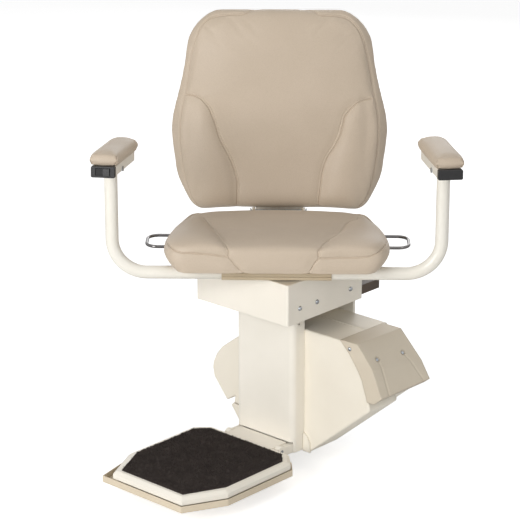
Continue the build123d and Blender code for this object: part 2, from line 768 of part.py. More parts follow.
def seat_bracket():
    top = bracket_bottom + bracket_plate
    rear_of_socket = arm_tube_y + socket_outer
    half = bracket_half_width
    plate = block(-half, half, rear_of_socket, rear_of_socket + 28, bracket_bottom, top)
    plate += block(-spine_half_width, spine_half_width, rear_of_socket, bracket_rear_y, bracket_bottom, top)
    for x in (-half, half - cheek_thickness):
        cheek = outline([(bracket_front_y, bracket_bottom + front_plate_rise), (arm_tube_y, bracket_bottom),
                         (rear_of_socket + 28, bracket_bottom),
                         (rear_of_socket + 28, top + 4),
                         (rear_of_socket + 4, board_under(rear_of_socket + 4) - 0.5),
                         (bracket_front_y, board_under(bracket_front_y) - 0.5)])
        plate += slab_x(cheek, x, x + cheek_thickness)
    plate += block(-half, half, bracket_front_y, bracket_front_y + bracket_plate - 1,
                   bracket_bottom + front_plate_rise, board_under(bracket_front_y) - 1)
    plate -= rod_x(socket_outer, -110, 110, arm_tube_y, arm_tube_z)
    for x in (-spine_half_width, spine_half_width - hinge_strap):
        ear = outline([(seat_hinge_y - 16, bracket_bottom), (seat_hinge_y + 18, bracket_bottom),
                       (seat_hinge_y + 9, seat_hinge_z + 3), (seat_hinge_y + 4, seat_hinge_z + 8),
                       (seat_hinge_y - 4, seat_hinge_z + 8), (seat_hinge_y - 9, seat_hinge_z + 3)])
        plate += slab_x(ear, x, x + hinge_strap)
    strap_outer = spine_half_width + part_gap + hinge_strap
    for y in (lever_front_y - 10, lever_rear_y + 6):
        under = board_under(y + 4)
        lugs = ((spine_half_width - 3, under - strap_leg - 0.8), (strap_outer + part_gap, under - 0.6))
        for side in (-1, 1):
            for start, high in lugs:
                a, b = sorted((side * start, side * (lever_pivot_x + 7)))
                plate += block(a, b, y, y + 4, bracket_bottom, high)
    plate -= rod_x(seat_hinge_radius, -80, 80, seat_hinge_y, seat_hinge_z)
    for side in (-1, 1):
        plate -= rod_y(lever_pivot_radius + running_fit, lever_front_y - 20, lever_rear_y + 20,
                       side * lever_pivot_x, lever_z)
    plate -= rod_z(latch_radius + running_fit, bracket_bottom - 1, top + 1, 0, latch_reach)
    return plate


def arm_receiver():
    """Cross tube under the seat's front that both arm tubes slide into."""
    half = bracket_half_width
    tube = rod_x(socket_outer, -half, half, arm_tube_y, arm_tube_z)
    return tube - rod_x(arm_tube_radius + sliding_fit, -half - 1, half + 1, arm_tube_y, arm_tube_z)


def seat_hinge_pin():
    half = spine_half_width + hinge_strap + 2
    pin = rod_x(seat_hinge_radius, -half, half, seat_hinge_y, seat_hinge_z)
    for side in (-1, 1):
        a, b = sorted((side * half, side * (half + 2)))
        pin += rod_x(seat_hinge_radius + 2, a, b, seat_hinge_y, seat_hinge_z)
    return pin


def back_plate():
    """Formed channel that carries the backrest, drawn in the reclined back frame."""
    y0 = back_rest_depth + board_thickness
    y1 = y0 + back_plate_thickness
    half = back_plate_half_width
    plate = block(-half, half, y0, y1, -70, back_plate_top)
    plate = fillet(plate.edges().filter_by(Axis.Y).group_by(Axis.Z)[-1], 14)
    for side in (-1, 1):
        a, b = sorted((side * half, side * (half - 5)))
        plate += block(a, b, y1, y1 + back_plate_flange, -70, back_plate_top - 20)
    plate -= rod_x(belt_anchor_radius, -half - 1, half + 1, y1 + back_plate_flange / 2, -belt_anchor_drop)
    plate = back_place * plate
    foot_bottom = bracket_bottom + bracket_plate
    foot = block(-half, half, seat_hinge_y + 6, back_front_y + y1 - 6,
                 foot_bottom, foot_bottom + back_plate_thickness)
    return plate - block(-200, 200, 0, 400, 0, foot_bottom) + foot


back_stations = (
    # height, rear half, widest half, shoulder half, seam half, rear, shoulder, bolster, seam, crown depth
    (-9, 134, 150, 137, 80, 48, 29, 26, 27, 25),
    (4, 148, 166, 149, 83, 52, 10, 1, 7, 4),
    (40, 168, 191, 164, 86, 52, 4, -8, 4, 0),
    (100, 183, 204, 174, 99, 52, 2, -9, 3, -2),
    (155, 187, 209, 176, 120, 52, 3, -7, 2, -4),
    (226, 173, 194, 170, 142, 52, 8, 1, 0, -6),
    (300, 159, 179, 157, 128, 52, 9, 3, 1, -5),
    (360, 144, 165, 142, 108, 52, 11, 5, 3, -2),
    (384, 122, 143, 121, 90, 50, 19, 13, 11, 8),
    (392, 104, 123, 104, 76, 42, 27, 23, 22, 20),
)


def cushion_section(point, half_base, half_wide, half_top, half_seam,
                    base, middle, top, bolster, seam, crown):
    """Closed section: flat base, drawn-in sides, two bolsters and a crowned centre, meeting at seams."""
    swell = (half_top + half_seam) / 2
    edges = [
        Line(point(-half_base, base), point(half_base, base)),
        ThreePointArc(point(half_base, base), point(half_wide, middle), point(half_top, top)),
        ThreePointArc(point(half_top, top), point(swell, bolster), point(half_seam, seam)),
        ThreePointArc(point(half_seam, seam), point(0, crown), point(-half_seam, seam)),
        ThreePointArc(point(-half_seam, seam), point(-swell, bolster), point(-half_top, top)),
        ThreePointArc(point(-half_top, top), point(-half_wide, middle), point(-half_base, base)),
    ]
    return Wire(edges)


def back_cushion():
    sections = []
    for height, half_rear, half_wide, half_top, half_seam, rear, top, bolster, seam, crown in back_stations:
        sections.append(cushion_section(lambda u, v: (u, v, height), half_rear, half_wide, half_top,
                                        half_seam, rear, (rear + top) / 2, top, bolster, seam, crown))
    cushion = Solid.make_loft(sections) - block(-300, 300, back_rest_depth - part_gap, 100, -50, 500)
    return back_place * cushion


def back_board():
    inset = 14
    points = []
    for height, half_rear in [(s[0], s[1]) for s in back_stations[1:-1]]:
        points.append((half_rear - inset, height))
    points = [(-x, z) for x, z in reversed(points)] + points
    board = slab_y(outline(points), back_rest_depth, back_rest_depth + board_thickness)
    return back_place * board


def back_bolts():
    bolts = []
    rear = back_rest_depth + board_thickness + back_plate_thickness
    for x in (-25, 25):
        for z in (110, 250):
            head = Pos(x, rear, z) * Rot(-90, 0, 0) * dome_screw(back_bolt_radius, 4)
            head -= Pos(x, rear + 4, z) * Rot(90, 0, 0) * extrude(RegularPolygon(2.6, 6), 2, both=True)
            bolts.append(back_place * head)
    return Compound(children=bolts)


# ---- folding seat ----

seat_stations = (
    # share of the length; half widths at base, widest, shoulder, seam; heights of base, shoulder, bolster,
    # seam and crown
    (0.0, 148, 166, 150, 74, 8.5, 44, 46, 42, 43),
    (0.026, 172, 197, 174, 86, 4.4, 54, 58, 52, 53),
    (0.114, 187, 212, 190, 92, 5, 58, 66, 56, 57.5),
    (0.298, 192, 216, 193, 104, 5, 54, 62, 52, 53.5),
    (0.54, 183, 206, 182, 136, 5, 45, 49, 46, 48.5),
    (0.824, 167, 189, 165, 130, 5, 37, 40, 40, 42.5),
    (0.952, 150, 175, 148, 112, 5, 32, 35, 36, 38),
    (1.0, 128, 151, 128, 92, 10, 27, 29, 30, 31),
)
board_half_width = 176.0
board_front = 8.0
board_rear = 8.0


def board_outline(grow=0.0):
    half, taper = board_half_width, 30
    near, far = board_front, seat_length - board_rear
    points = [(-half + taper, near), (half - taper, near), (half, near + 32), (half, near + 110),
              (half - taper, far - 44), (half - 2 * taper, far), (-half + 2 * taper, far),
              (-half + taper, far - 44), (-half, near + 110), (-half, near + 32)]
    face = outline(points, 12)
    return offset(face, grow, kind=Kind.INTERSECTION) if grow else face


def seat_cushion():
    """Cushion that reaches down round the board, which sits up in the pocket underneath."""
    sections = []
    for share, half_base, half_wide, half_top, half_seam, base, top, bolster, seam, crown in seat_stations:
        away = share * seat_length
        sections.append(cushion_section(lambda u, v: (u, away, v), half_base, half_wide, half_top, half_seam,
                                        base, (base + top) / 2, top, bolster, seam, crown))
    cushion = Solid.make_loft(sections) - block(-300, 300, -50, 500, -50, 0)
    pocket_top = board_rise + board_thickness + part_gap
    return board_place * (cushion - slab_z(board_outline(part_gap), -1, pocket_top))


def seat_board():
    board = board_place * slab_z(board_outline(), board_rise, board_rise + board_thickness)
    return board - board_screw_shafts()


strap_leg = 2.4
board_screw_radius = 1.8
board_screw_length = 9.0
board_screw_places = [(side * (spine_half_width - 7), seat_length - back)
                      for side in (-1, 1) for back in (70, 34)]


def board_screw_shafts():
    shafts = [Pos(x, away, board_rise + 2) * Cylinder(board_screw_radius, board_screw_length)
              for x, away in board_screw_places]
    return board_place * (shafts[0] + shafts[1:])


def seat_hinge_arms():
    """Angle straps from under the board to the hinge pin, outside the bracket's ears."""
    arms = []
    leg = strap_leg
    start, end = seat_length - 84, seat_length + 4
    for side in (-1, 1):
        inner = spine_half_width + part_gap
        a, b = sorted((side * inner, side * (inner + hinge_strap)))
        c, d = sorted((side * (inner - 16), side * (inner + hinge_strap)))
        flat = board_place * block(c, d, start, end, board_rise - leg, board_rise)
        foot_y = seat_front_y + end - 3
        rise = outline([(foot_y, board_under(foot_y) - leg),
                        (seat_hinge_y + 6, board_under(foot_y) + 2),
                        (seat_hinge_y + 7, seat_hinge_z), (seat_hinge_y + 4, seat_hinge_z + 7),
                        (seat_hinge_y - 4, seat_hinge_z + 7), (seat_hinge_y - 7, seat_hinge_z),
                        (foot_y + 4, board_under(foot_y) + 14)])
        arm = flat + slab_x(rise, a, b)
        arm -= rod_x(seat_hinge_radius + running_fit, -80, 80, seat_hinge_y, seat_hinge_z)
        arms.append(arm - board_screw_shafts())
    return Compound(children=arms)


def board_screws():
    screws = []
    for x, away in board_screw_places:
        head = Pos(x, away, board_rise - strap_leg) * Rot(180, 0, 0) * dome_screw(3.2, 1.0)
        shaft = Pos(x, away, board_rise + 2) * Cylinder(board_screw_radius, board_screw_length)
        screws.append(board_place * (head + shaft))
    return Compound(children=screws)


# ---- arms and armrests ----

def arm_tube(side):
    """Bent tube: level run in the socket, one bend, an upright with ferrule and pivot tongue."""
    reach = side * (arm_half_span - arm_bend_radius)
    start = Vector(side * arm_tube_inner_end, arm_tube_y, arm_tube_z)
    knee = Vector(reach, arm_tube_y, arm_tube_z)
    rise = Vector(side * arm_half_span, arm_tube_y, arm_tube_z + arm_bend_radius)
    dip = arm_bend_radius * (1 - math.sqrt(0.5))
    mid = Vector(side * (arm_half_span - dip), arm_tube_y, arm_tube_z + dip)
    top = Vector(side * arm_half_span, arm_tube_y, arm_tube_top)
    path = Wire([Line(start, knee), ThreePointArc(knee, mid, rise), Line(rise, top)])
    section = Plane(origin=start, z_dir=Vector(side, 0, 0))
    tube = sweep(section * Circle(arm_tube_radius), path)
    tube -= sweep(section * Circle(arm_tube_radius - arm_tube_wall), path)
    x = side * arm_half_span
    tube += rod_z(ferrule_radius, arm_tube_top, arm_tube_top + ferrule_height, x, arm_tube_y)
    tongue = rod_x(tongue_radius, -tongue_half_width, tongue_half_width, 0, 0)
    drop = armrest_pivot_z - arm_tube_top - ferrule_height
    tongue += block(-tongue_half_width, tongue_half_width, -tongue_radius, tongue_radius, -drop, 0)
    tube += pivot_place(side) * tongue
    return tube - armrest_pin_bore(side)


def pivot_place(side):
    return Pos(side * arm_half_span, arm_tube_y, armrest_pivot_z) * Rot(0, 0, side * armrest_toe)


def armrest_pin_bore(side):
    return pivot_place(side) * Rot(0, 90, 0) * Cylinder(armrest_pin_radius, 40)


def armrest_pin(side):
    inner = carrier_width / 2 - carrier_wall
    pin = Rot(0, 90, 0) * Cylinder(armrest_pin_radius, carrier_width + 3)
    for end in (-1, 1):
        a, b = sorted((end * tongue_half_width, end * (inner - part_gap / 2)))
        pin += rod_x(6, a, b, 0, 0)
        c, d = sorted((end * (carrier_width / 2 + part_gap / 2), end * (carrier_width / 2 + 2)))
        pin += rod_x(5, c, d, 0, 0)
    return pivot_place(side) * pin


def armrest_place(side):
    tilt = armrest_tilt_left if side > 0 else armrest_tilt_right
    return pivot_place(side) * Rot(-tilt, 0, 0)


carrier_low = -carrier_pin_drop
carrier_high = carrier_height - carrier_pin_drop


def armrest_carrier(side):
    half = carrier_width / 2
    y0, y1 = -carrier_front, carrier_length - carrier_front
    carrier = block(-half, half, y0, y1, carrier_low, carrier_high)
    carrier = fillet(carrier.edges().filter_by(Axis.Y).group_by(Axis.Z)[-1], 2.4)
    carrier -= block(-half + carrier_wall, half - carrier_wall, y0 - 1, y1 + 1, carrier_low - 1,
                     carrier_high - carrier_wall)
    carrier -= Rot(0, 90, 0) * Cylinder(armrest_pin_radius + running_fit, 2 * carrier_width)
    return armrest_place(side) * carrier


def armrest_cap(side):
    """Moulded end cap; the occupant's right one is taller and holds the rocker."""
    half = carrier_width / 2 + (0.0 if side < 0 else 0.5)
    low = carrier_high - (cap_height_right if side < 0 else cap_height_left)
    y1 = -carrier_front
    cap = block(-half, half, y1 - cap_depth, y1, low, carrier_high)
    cap = fillet(cap.edges().filter_by(Axis.Y), 3)
    cap = fillet(cap.faces().sort_by(Axis.Y)[0].edges(), 1.2)
    plug = carrier_width / 2 - carrier_wall
    cap += block(-plug, plug, y1, y1 + 12, max(low, carrier_low) + 1, carrier_high - carrier_wall)
    if side < 0:
        mid = (low + carrier_high) / 2
        well = rocker_width / 2 + rocker_side_gap
        cap -= block(-well, well, y1 - cap_depth - 1, y1 - 1, mid - rocker_height / 2 - part_gap,
                     mid + rocker_height / 2 + part_gap)
        reach = rocker_pin_length / 2 + part_gap
        bore = rocker_pin_radius + running_fit
        cap -= rod_z(bore, mid - reach, mid + reach, rocker_pivot.X, rocker_pivot.Y)
    return armrest_place(side) * cap


rocker_pivot = Vector(0, -carrier_front - cap_depth / 2, carrier_high - cap_height_right / 2)


def rocker_switch():
    half = rocker_width / 2
    face = outline([(-half, -3.2), (0, -1.8), (half, -3.2), (half, 2.4), (4, 3.6), (-4, 3.6), (-half, 2.4)])
    rocker = extrude(Plane.XY.offset(-rocker_height / 2) * face, rocker_height)
    rocker = Pos(0, -3, 0) * rocker + rod_z(rocker_pin_radius, -rocker_pin_length / 2, rocker_pin_length / 2)
    return armrest_place(-1) * Pos(*rocker_pivot.to_tuple()) * rocker


def armrest_pad(side):
    half = pad_width / 2
    z0 = carrier_high
    crown, shoulder = z0 + pad_height, z0 + pad_height - 6
    section = make_face(Wire([
        Line((-half + 5, z0), (half - 5, z0)),
        ThreePointArc((half - 5, z0), (half, z0 + 9), (half - 6, shoulder)),
        ThreePointArc((half - 6, shoulder), (0, crown), (-half + 6, shoulder)),
        ThreePointArc((-half + 6, shoulder), (-half, z0 + 9), (-half + 5, z0)),
    ]))
    pad = slab_y(section, -pad_front, pad_length - pad_front)
    y0, y1 = -pad_front, pad_length - pad_front
    side_view = outline([(y0 + 5, z0), (y1 - 5, z0), (y1, z0 + 9), (y1 - 5, z0 + pad_height - 5),
                         (y1 - 30, z0 + pad_height + 1), (y0 + 30, z0 + pad_height + 1),
                         (y0 + 5, z0 + pad_height - 5), (y0, z0 + 9)])
    side_view = fillet(side_view.vertices(), 2.5)
    return armrest_place(side) * (pad & slab_x(side_view, -half - 1, half + 1))


# ---- swivel levers and latch ----

def swivel_lever(side):
    """Loop handle with a pivot bar and a finger that lifts the latch pin."""
    r = lever_bend_radius
    outer, pivot = side * lever_reach, side * lever_pivot_x
    front, rear, z = lever_front_y, lever_rear_y, lever_z
    dip = r * (1 - math.sqrt(0.5))
    near = outer - side * r
    edges = [
        Line((pivot, front, z), (near, front, z)),
        ThreePointArc((near, front, z), (outer - side * dip, front + dip, z), (outer, front + r, z)),
        Line((outer, front + r, z), (outer, rear - r, z)),
        ThreePointArc((outer, rear - r, z), (outer - side * dip, rear - dip, z), (near, rear, z)),
        Line((near, rear, z), (pivot, rear, z)),
    ]
    path = Wire(edges)
    lever = sweep(Plane(origin=(pivot, front, z), z_dir=(side, 0, 0)) * Circle(lever_rod_radius), path)
    lever += rod_y(lever_pivot_radius, front - 12, rear + 12, pivot, z)
    a, b = sorted((side * (latch_radius + 0.6), pivot))
    return lever + block(a, b, latch_reach - 5, latch_reach + 5, z + 1, z + 1 + lever_finger)


def latch_pin():
    head = lever_z + 1 + lever_finger + part_gap
    pin = rod_z(latch_radius, housing_top + part_gap, head, 0, latch_reach)
    return pin + rod_z(8, head, head + 2, 0, latch_reach)


def add(name, shape, place=None):
    nodes[name] = shape if place is None else place * shape


def build():
    add("chassis_plate", chassis_plate())
    add("seat_post", seat_post())
    add("swivel_frame", swivel_frame())
    add("swivel_housing", swivel_housing())
    add("housing_bolts", housing_bolts())
    add("thrust_ring", thrust_ring())
    add("rear_channels", rear_channels())
    add("column_cover", column_cover())
    add("main_cover", main_cover())
    add("rear_cover", rear_cover())
    add("upper_end_cover", upper_end_cover())
    add("lower_end_cover", lower_end_cover())
    add("lower_skirt", lower_skirt())
    add("column_foot", column_foot())
    add("cover_screws", cover_screws())
    add("drive_motor", drive_motor())
    add("gearbox", gearbox())
    add("batteries", batteries())
    add("battery_tray", battery_tray())
    add("control_board", control_board())
    add("roller_axles", roller_axles())
    add("footrest_bracket", footrest_bracket())
    add("footrest_pin", footrest_pin())
    for number, (x, z) in enumerate(roller_places(), 1):
        add(f"guide_roller_{number}", guide_roller(x, z))
    add("drive_pinion", drive_pinion())
    add("footrest_platform", footrest_platform())
    add("footrest_mat", footrest_mat())
    add("footrest_pan", footrest_pan())
    add("pan_springs", pan_springs())
    for name, make in (("turntable", turntable), ("spindle", spindle), ("seat_bracket", seat_bracket),
                       ("arm_receiver", arm_receiver), ("seat_hinge_pin", seat_hinge_pin),
                       ("back_plate", back_plate), ("back_board", back_board), ("back_cushion", back_cushion),
                       ("back_bolts", back_bolts), ("seat_board", seat_board), ("seat_cushion", seat_cushion),
                       ("seat_hinge_arms", seat_hinge_arms), ("board_screws", board_screws),
                       ("rocker_switch", rocker_switch), ("latch_pin", latch_pin)):
        add(name, make(), seat_place)
    for word, side in (("left", 1), ("right", -1)):
        add(f"arm_tube_{word}", arm_tube(side), seat_place)
        add(f"armrest_pin_{word}", armrest_pin(side), seat_place)
        add(f"armrest_carrier_{word}", armrest_carrier(side), seat_place)
        add(f"armrest_cap_{word}", armrest_cap(side), seat_place)
        add(f"armrest_pad_{word}", armrest_pad(side), seat_place)
        add(f"swivel_lever_{word}", swivel_lever(side), seat_place)


build()
os.makedirs("parts", exist_ok=True)
for name, shape in nodes.items():
    export_step(shape, f"parts/{name}.step")
    print(name, round(shape.volume / 1000, 1), "cm3")
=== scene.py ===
import math
import bpy
import bmesh
from mathutils import Matrix, Vector, noise
from mathutils.bvhtree import BVHTree
from mathutils.kdtree import KDTree


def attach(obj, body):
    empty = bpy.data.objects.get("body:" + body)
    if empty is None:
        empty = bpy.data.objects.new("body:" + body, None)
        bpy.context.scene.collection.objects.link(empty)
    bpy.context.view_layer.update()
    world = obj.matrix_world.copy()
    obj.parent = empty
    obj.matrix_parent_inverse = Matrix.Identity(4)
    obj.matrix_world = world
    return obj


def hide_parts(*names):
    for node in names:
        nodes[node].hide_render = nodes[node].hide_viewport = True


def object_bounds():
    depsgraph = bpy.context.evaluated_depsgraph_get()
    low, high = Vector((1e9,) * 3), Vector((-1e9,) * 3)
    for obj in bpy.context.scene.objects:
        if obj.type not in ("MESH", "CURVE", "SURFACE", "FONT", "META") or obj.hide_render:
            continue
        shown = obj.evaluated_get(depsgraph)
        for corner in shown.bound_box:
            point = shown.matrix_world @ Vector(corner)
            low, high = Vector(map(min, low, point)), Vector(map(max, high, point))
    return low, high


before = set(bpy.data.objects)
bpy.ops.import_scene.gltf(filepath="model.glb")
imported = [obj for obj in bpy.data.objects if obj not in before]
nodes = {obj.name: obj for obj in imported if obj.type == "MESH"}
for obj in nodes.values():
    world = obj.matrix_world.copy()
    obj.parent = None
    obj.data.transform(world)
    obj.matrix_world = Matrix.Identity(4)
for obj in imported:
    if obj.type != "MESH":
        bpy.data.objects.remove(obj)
scene = bpy.context.scene
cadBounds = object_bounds()
print("frame loaded:", len(nodes), "solids")

# where the seat, back and armrests stand, as in the solids' own source (metres, degrees)
places = {"swivel": (-0.005, -0.157, 0), "swivelRest": 41.2,
          "board": (0, -0.195, 0.318), "boardRake": -4.2,
          "back": (0, 0.172, 0.335), "backRecline": -8.8,
          "armrestPivot": (0.308, -0.130, 0.5015), "armrestToe": 7.2,
          "armrestTilt": {"left": 4.0, "right": 6.5}}


def turned(degrees, axis):
    return Matrix.Rotation(math.radians(degrees), 4, axis)


seatPlace = Matrix.Translation(places["swivel"]) @ turned(places["swivelRest"], "Z")
boardPlace = seatPlace @ Matrix.Translation(places["board"]) @ turned(places["boardRake"], "X")
backPlace = seatPlace @ Matrix.Translation(places["back"]) @ turned(places["backRecline"], "X")


def armrestPlace(word):
    side = 1 if word == "left" else -1
    x, y, z = places["armrestPivot"]
    return (seatPlace @ Matrix.Translation((side * x, y, z)) @ turned(side * places["armrestToe"], "Z")
            @ turned(-places["armrestTilt"][word], "X"))


cameraView = {"place": (2.6801, -3.1641, 1.6572), "tilt": 71.13, "turn": 42.24, "lens": 152.3}


def placeCamera():
    data = bpy.data.cameras.new("photoCamera")
    data.sensor_width = 36
    data.sensor_fit = "HORIZONTAL"
    data.lens = cameraView["lens"]
    data.clip_start = 0.05
    camera = bpy.data.objects.new("photoCamera", data)
    camera.location = cameraView["place"]
    camera.rotation_euler = (math.radians(cameraView["tilt"]), 0, math.radians(cameraView["turn"]))
    scene.collection.objects.link(camera)
    scene.camera = camera


studio = {"floorColour": 0.86, "floorGlow": 0.6, "floorReach": 14.0, "floorGap": 0.0005,
          "worldLight": 0.36, "lampTarget": (0, -0.15, 0.3),
          "lamps": {"key": {"place": (0.2, -3.8, 1.35), "size": 1.7, "watts": 84},
                    "fill": {"place": (3.3, -1.2, 1.5), "size": 2.4, "watts": 22},
                    "top": {"place": (0.2, 0.2, 3.1), "size": 2.6, "watts": 12},
                    "rear": {"place": (-1.6, 2.6, 1.8), "size": 2.2, "watts": 22}}}


def lightStudio():
    world = bpy.data.worlds.new("studioWorld")
    scene.world = world
    world.use_nodes = True
    tree = world.node_tree
    back = tree.nodes["Background"]
    rays = tree.nodes.new("ShaderNodeLightPath")
    seen = tree.nodes.new("ShaderNodeMath")
    seen.operation = "MAXIMUM"
    level = tree.nodes.new("ShaderNodeMapRange")
    level.inputs["To Min"].default_value = studio["worldLight"]
    level.inputs["To Max"].default_value = 1.0
    tree.links.new(rays.outputs["Is Camera Ray"], seen.inputs[0])
    tree.links.new(rays.outputs["Is Glossy Ray"], seen.inputs[1])
    tree.links.new(seen.outputs[0], level.inputs["Value"])
    tree.links.new(level.outputs["Result"], back.inputs["Strength"])
    back.inputs["Color"].default_value = (1, 1, 1, 1)
    target = Vector(studio["lampTarget"])
    for name, lamp in studio["lamps"].items():
        data = bpy.data.lights.new(name + "Lamp", "AREA")
        data.size = lamp["size"]
        data.energy = lamp["watts"]
        obj = bpy.data.objects.new(name + "Lamp", data)
        obj.location = lamp["place"]
        obj.rotation_euler = (target - Vector(lamp["place"])).to_track_quat("-Z", "Y").to_euler()
        scene.collection.objects.link(obj)


def layFloor(height):
    reach = studio["floorReach"]
    mesh = bpy.data.meshes.new("floor")
    mesh.from_pydata([(-reach, -reach, height), (reach, -reach, height), (reach, reach, height),
                      (-reach, reach, height)], [], [(0, 1, 2, 3)])
    floor = bpy.data.objects.new("floor", mesh)
    scene.collection.objects.link(floor)
    material = bpy.data.materials.new("paleFloor")
    material.use_nodes = True
    tree = material.node_tree
    shader = tree.nodes["Principled BSDF"]
    shade = studio["floorColour"]
    shader.inputs["Base Color"].default_value = (shade, shade, shade, 1)
    shader.inputs["Roughness"].default_value = 0.9
    shader.inputs["Specular IOR Level"].default_value = 0.1
    shader.inputs["Emission Color"].default_value = (1, 1, 1, 1)
    rays = tree.nodes.new("ShaderNodeLightPath")
    glow = tree.nodes.new("ShaderNodeMath")
    glow.operation = "MULTIPLY"
    glow.inputs[1].default_value = studio["floorGlow"]
    tree.links.new(rays.outputs["Is Camera Ray"], glow.inputs[0])
    tree.links.new(glow.outputs[0], shader.inputs["Emission Strength"])
    mesh.materials.append(material)


placeCamera()
lightStudio()
layFloor(cadBounds[0][2] - studio["floorGap"])
scene.view_settings.view_transform = "Standard"
print("camera, lamps and floor ready")


def linear(colour):
    out = []
    for value in colour:
        value = value / 255
        out.append(value / 12.92 if value <= 0.04045 else ((value + 0.055) / 1.055) ** 2.4)
    return (*out, 1)


def join(tree, output, target):
    tree.links.new(output, target)


def noiseNode(tree, coordinates, scale, detail=3.0, roughness=0.5):
    node = tree.nodes.new("ShaderNodeTexNoise")
    node.inputs["Scale"].default_value = scale
    node.inputs["Detail"].default_value = detail
    node.inputs["Roughness"].default_value = roughness
    join(tree, coordinates, node.inputs["Vector"])
    return node.outputs["Fac"]


def spread(tree, value, low, high):
    # noise mostly stays between 0.3 and 0.7, and is stretched from there to low and high
    node = tree.nodes.new("ShaderNodeMapRange")
    node.inputs["From Min"].default_value = 0.3
    node.inputs["From Max"].default_value = 0.7
    node.inputs["To Min"].default_value = low
    node.inputs["To Max"].default_value = high
    join(tree, value, node.inputs["Value"])
    return node.outputs["Result"]


def mixColours(tree, factor, first, second):
    node = tree.nodes.new("ShaderNodeMix")
    node.data_type = "RGBA"
    for socket, value in ((node.inputs[6], first), (node.inputs[7], second)):
        if isinstance(value, tuple):
            socket.default_value = value
        else:
            join(tree, value, socket)
    join(tree, factor, node.inputs[0])
    return node.outputs[2]


def combine(tree, operation, first, second):
    node = tree.nodes.new("ShaderNodeMath")
    node.operation = operation
    for socket, value in ((node.inputs[0], first), (node.inputs[1], second)):
        if isinstance(value, (int, float)):
            socket.default_value = value
        else:
            join(tree, value, socket)
    return node.outputs[0]


def bumpFrom(tree, height, strength, distance, normal=None):
    node = tree.nodes.new("ShaderNodeBump")
    node.inputs["Strength"].default_value = strength
    node.inputs["Distance"].default_value = distance
    join(tree, height, node.inputs["Height"])
    if normal is not None:
        join(tree, normal, node.inputs["Normal"])
    return node.outputs["Normal"]


def softEdge(tree, radius):
    node = tree.nodes.new("ShaderNodeBevel")
    node.samples = 6
    node.inputs["Radius"].default_value = radius
    return node.outputs["Normal"]


def startFinish(name, look):
    material = bpy.data.materials.new(name)
    material.use_nodes = True
    tree = material.node_tree
    shader = tree.nodes["Principled BSDF"]
    for socket, key in (("Metallic", "metallic"), ("Specular IOR Level", "specular"),
                        ("Coat Weight", "coat"), ("Coat Roughness", "coatRoughness"),
                        ("Sheen Weight", "sheen"), ("Sheen Roughness", "sheenRoughness")):
        if key in look:
            shader.inputs[socket].default_value = look[key]
    coordinates = tree.nodes.new("ShaderNodeTexCoord").outputs["Object"]
    return material, tree, shader, coordinates


def paint(name, look):
    # coated metal and moulded plastic: faint mottle, fine texture, edges that look rounded
    material, tree, shader, at = startFinish(name, look)
    mottle = noiseNode(tree, at, look["mottle"], 4)
    colour = mixColours(tree, spread(tree, mottle, 0, 1), linear(look["colour"]), linear(look["shade"]))
    fine = noiseNode(tree, at, look["grain"], 2)
    join(tree, spread(tree, fine, look["rough"] - 0.04, look["rough"] + 0.05), shader.inputs["Roughness"])
    join(tree, colour, shader.inputs["Base Color"])
    normal = softEdge(tree, look["edge"])
    join(tree, bumpFrom(tree, fine, look["texture"], 0.0002, normal), shader.inputs["Normal"])
    return material


def vinyl(name, look):
    # leather-grain vinyl: cells over fine pores, a little smoother in places, with the creases between
    # the cells darkened as painted shade
    material, tree, shader, at = startFinish(name, look)
    warp = tree.nodes.new("ShaderNodeTexNoise")
    warp.inputs["Scale"].default_value = look["warp"]
    join(tree, at, warp.inputs["Vector"])
    shift = tree.nodes.new("ShaderNodeVectorMath")
    shift.operation = "MULTIPLY_ADD"
    shift.inputs[1].default_value = (look["warpBy"],) * 3
    join(tree, warp.outputs["Color"], shift.inputs[0])
    join(tree, at, shift.inputs[2])
    cells = tree.nodes.new("ShaderNodeTexVoronoi")
    cells.feature = "DISTANCE_TO_EDGE"
    cells.inputs["Scale"].default_value = look["cells"]
    join(tree, shift.outputs[0], cells.inputs["Vector"])
    crease = tree.nodes.new("ShaderNodeMapRange")
    crease.inputs["From Max"].default_value = look["creaseWidth"]
    join(tree, cells.outputs["Distance"], crease.inputs["Value"])
    pores = noiseNode(tree, at, look["pores"], 2)
    height = combine(tree, "ADD", combine(tree, "MULTIPLY", pores, look["poreDepth"]),
                     crease.outputs["Result"])
    mottle = noiseNode(tree, at, look["mottle"], 5, 0.6)
    base = mixColours(tree, spread(tree, mottle, 0, 1), linear(look["colour"]), linear(look["shade"]))
    # painted shade: the valleys between the grain cells are mixed halfway toward the darker crease colour
    low = combine(tree, "SUBTRACT", 1.0, crease.outputs["Result"])
    base = mixColours(tree, combine(tree, "MULTIPLY", low, 0.5), base, linear(look["crease"]))
    join(tree, base, shader.inputs["Base Color"])
    rub = noiseNode(tree, at, look["mottle"] * 1.7, 3)
    join(tree, spread(tree, rub, look["rough"] - 0.06, look["rough"] + 0.06), shader.inputs["Roughness"])
    join(tree, bumpFrom(tree, height, look["depth"], look["bump"]), shader.inputs["Normal"])
    return material


def metal(name, look):
    # plated or turned metal: fine scratches, slightly cloudy plating
    material, tree, shader, at = startFinish(name, look)
    scratches = noiseNode(tree, at, look["grain"], 3)
    cloud = noiseNode(tree, at, look["mottle"], 3)
    colour = mixColours(tree, spread(tree, cloud, 0, 1), linear(look["colour"]), linear(look["shade"]))
    join(tree, colour, shader.inputs["Base Color"])
    join(tree, spread(tree, scratches, look["rough"] - 0.05, look["rough"] + 0.08),
         shader.inputs["Roughness"])
    normal = softEdge(tree, look["edge"])
    join(tree, bumpFrom(tree, scratches, look["texture"], 0.0001, normal), shader.inputs["Normal"])
    return material


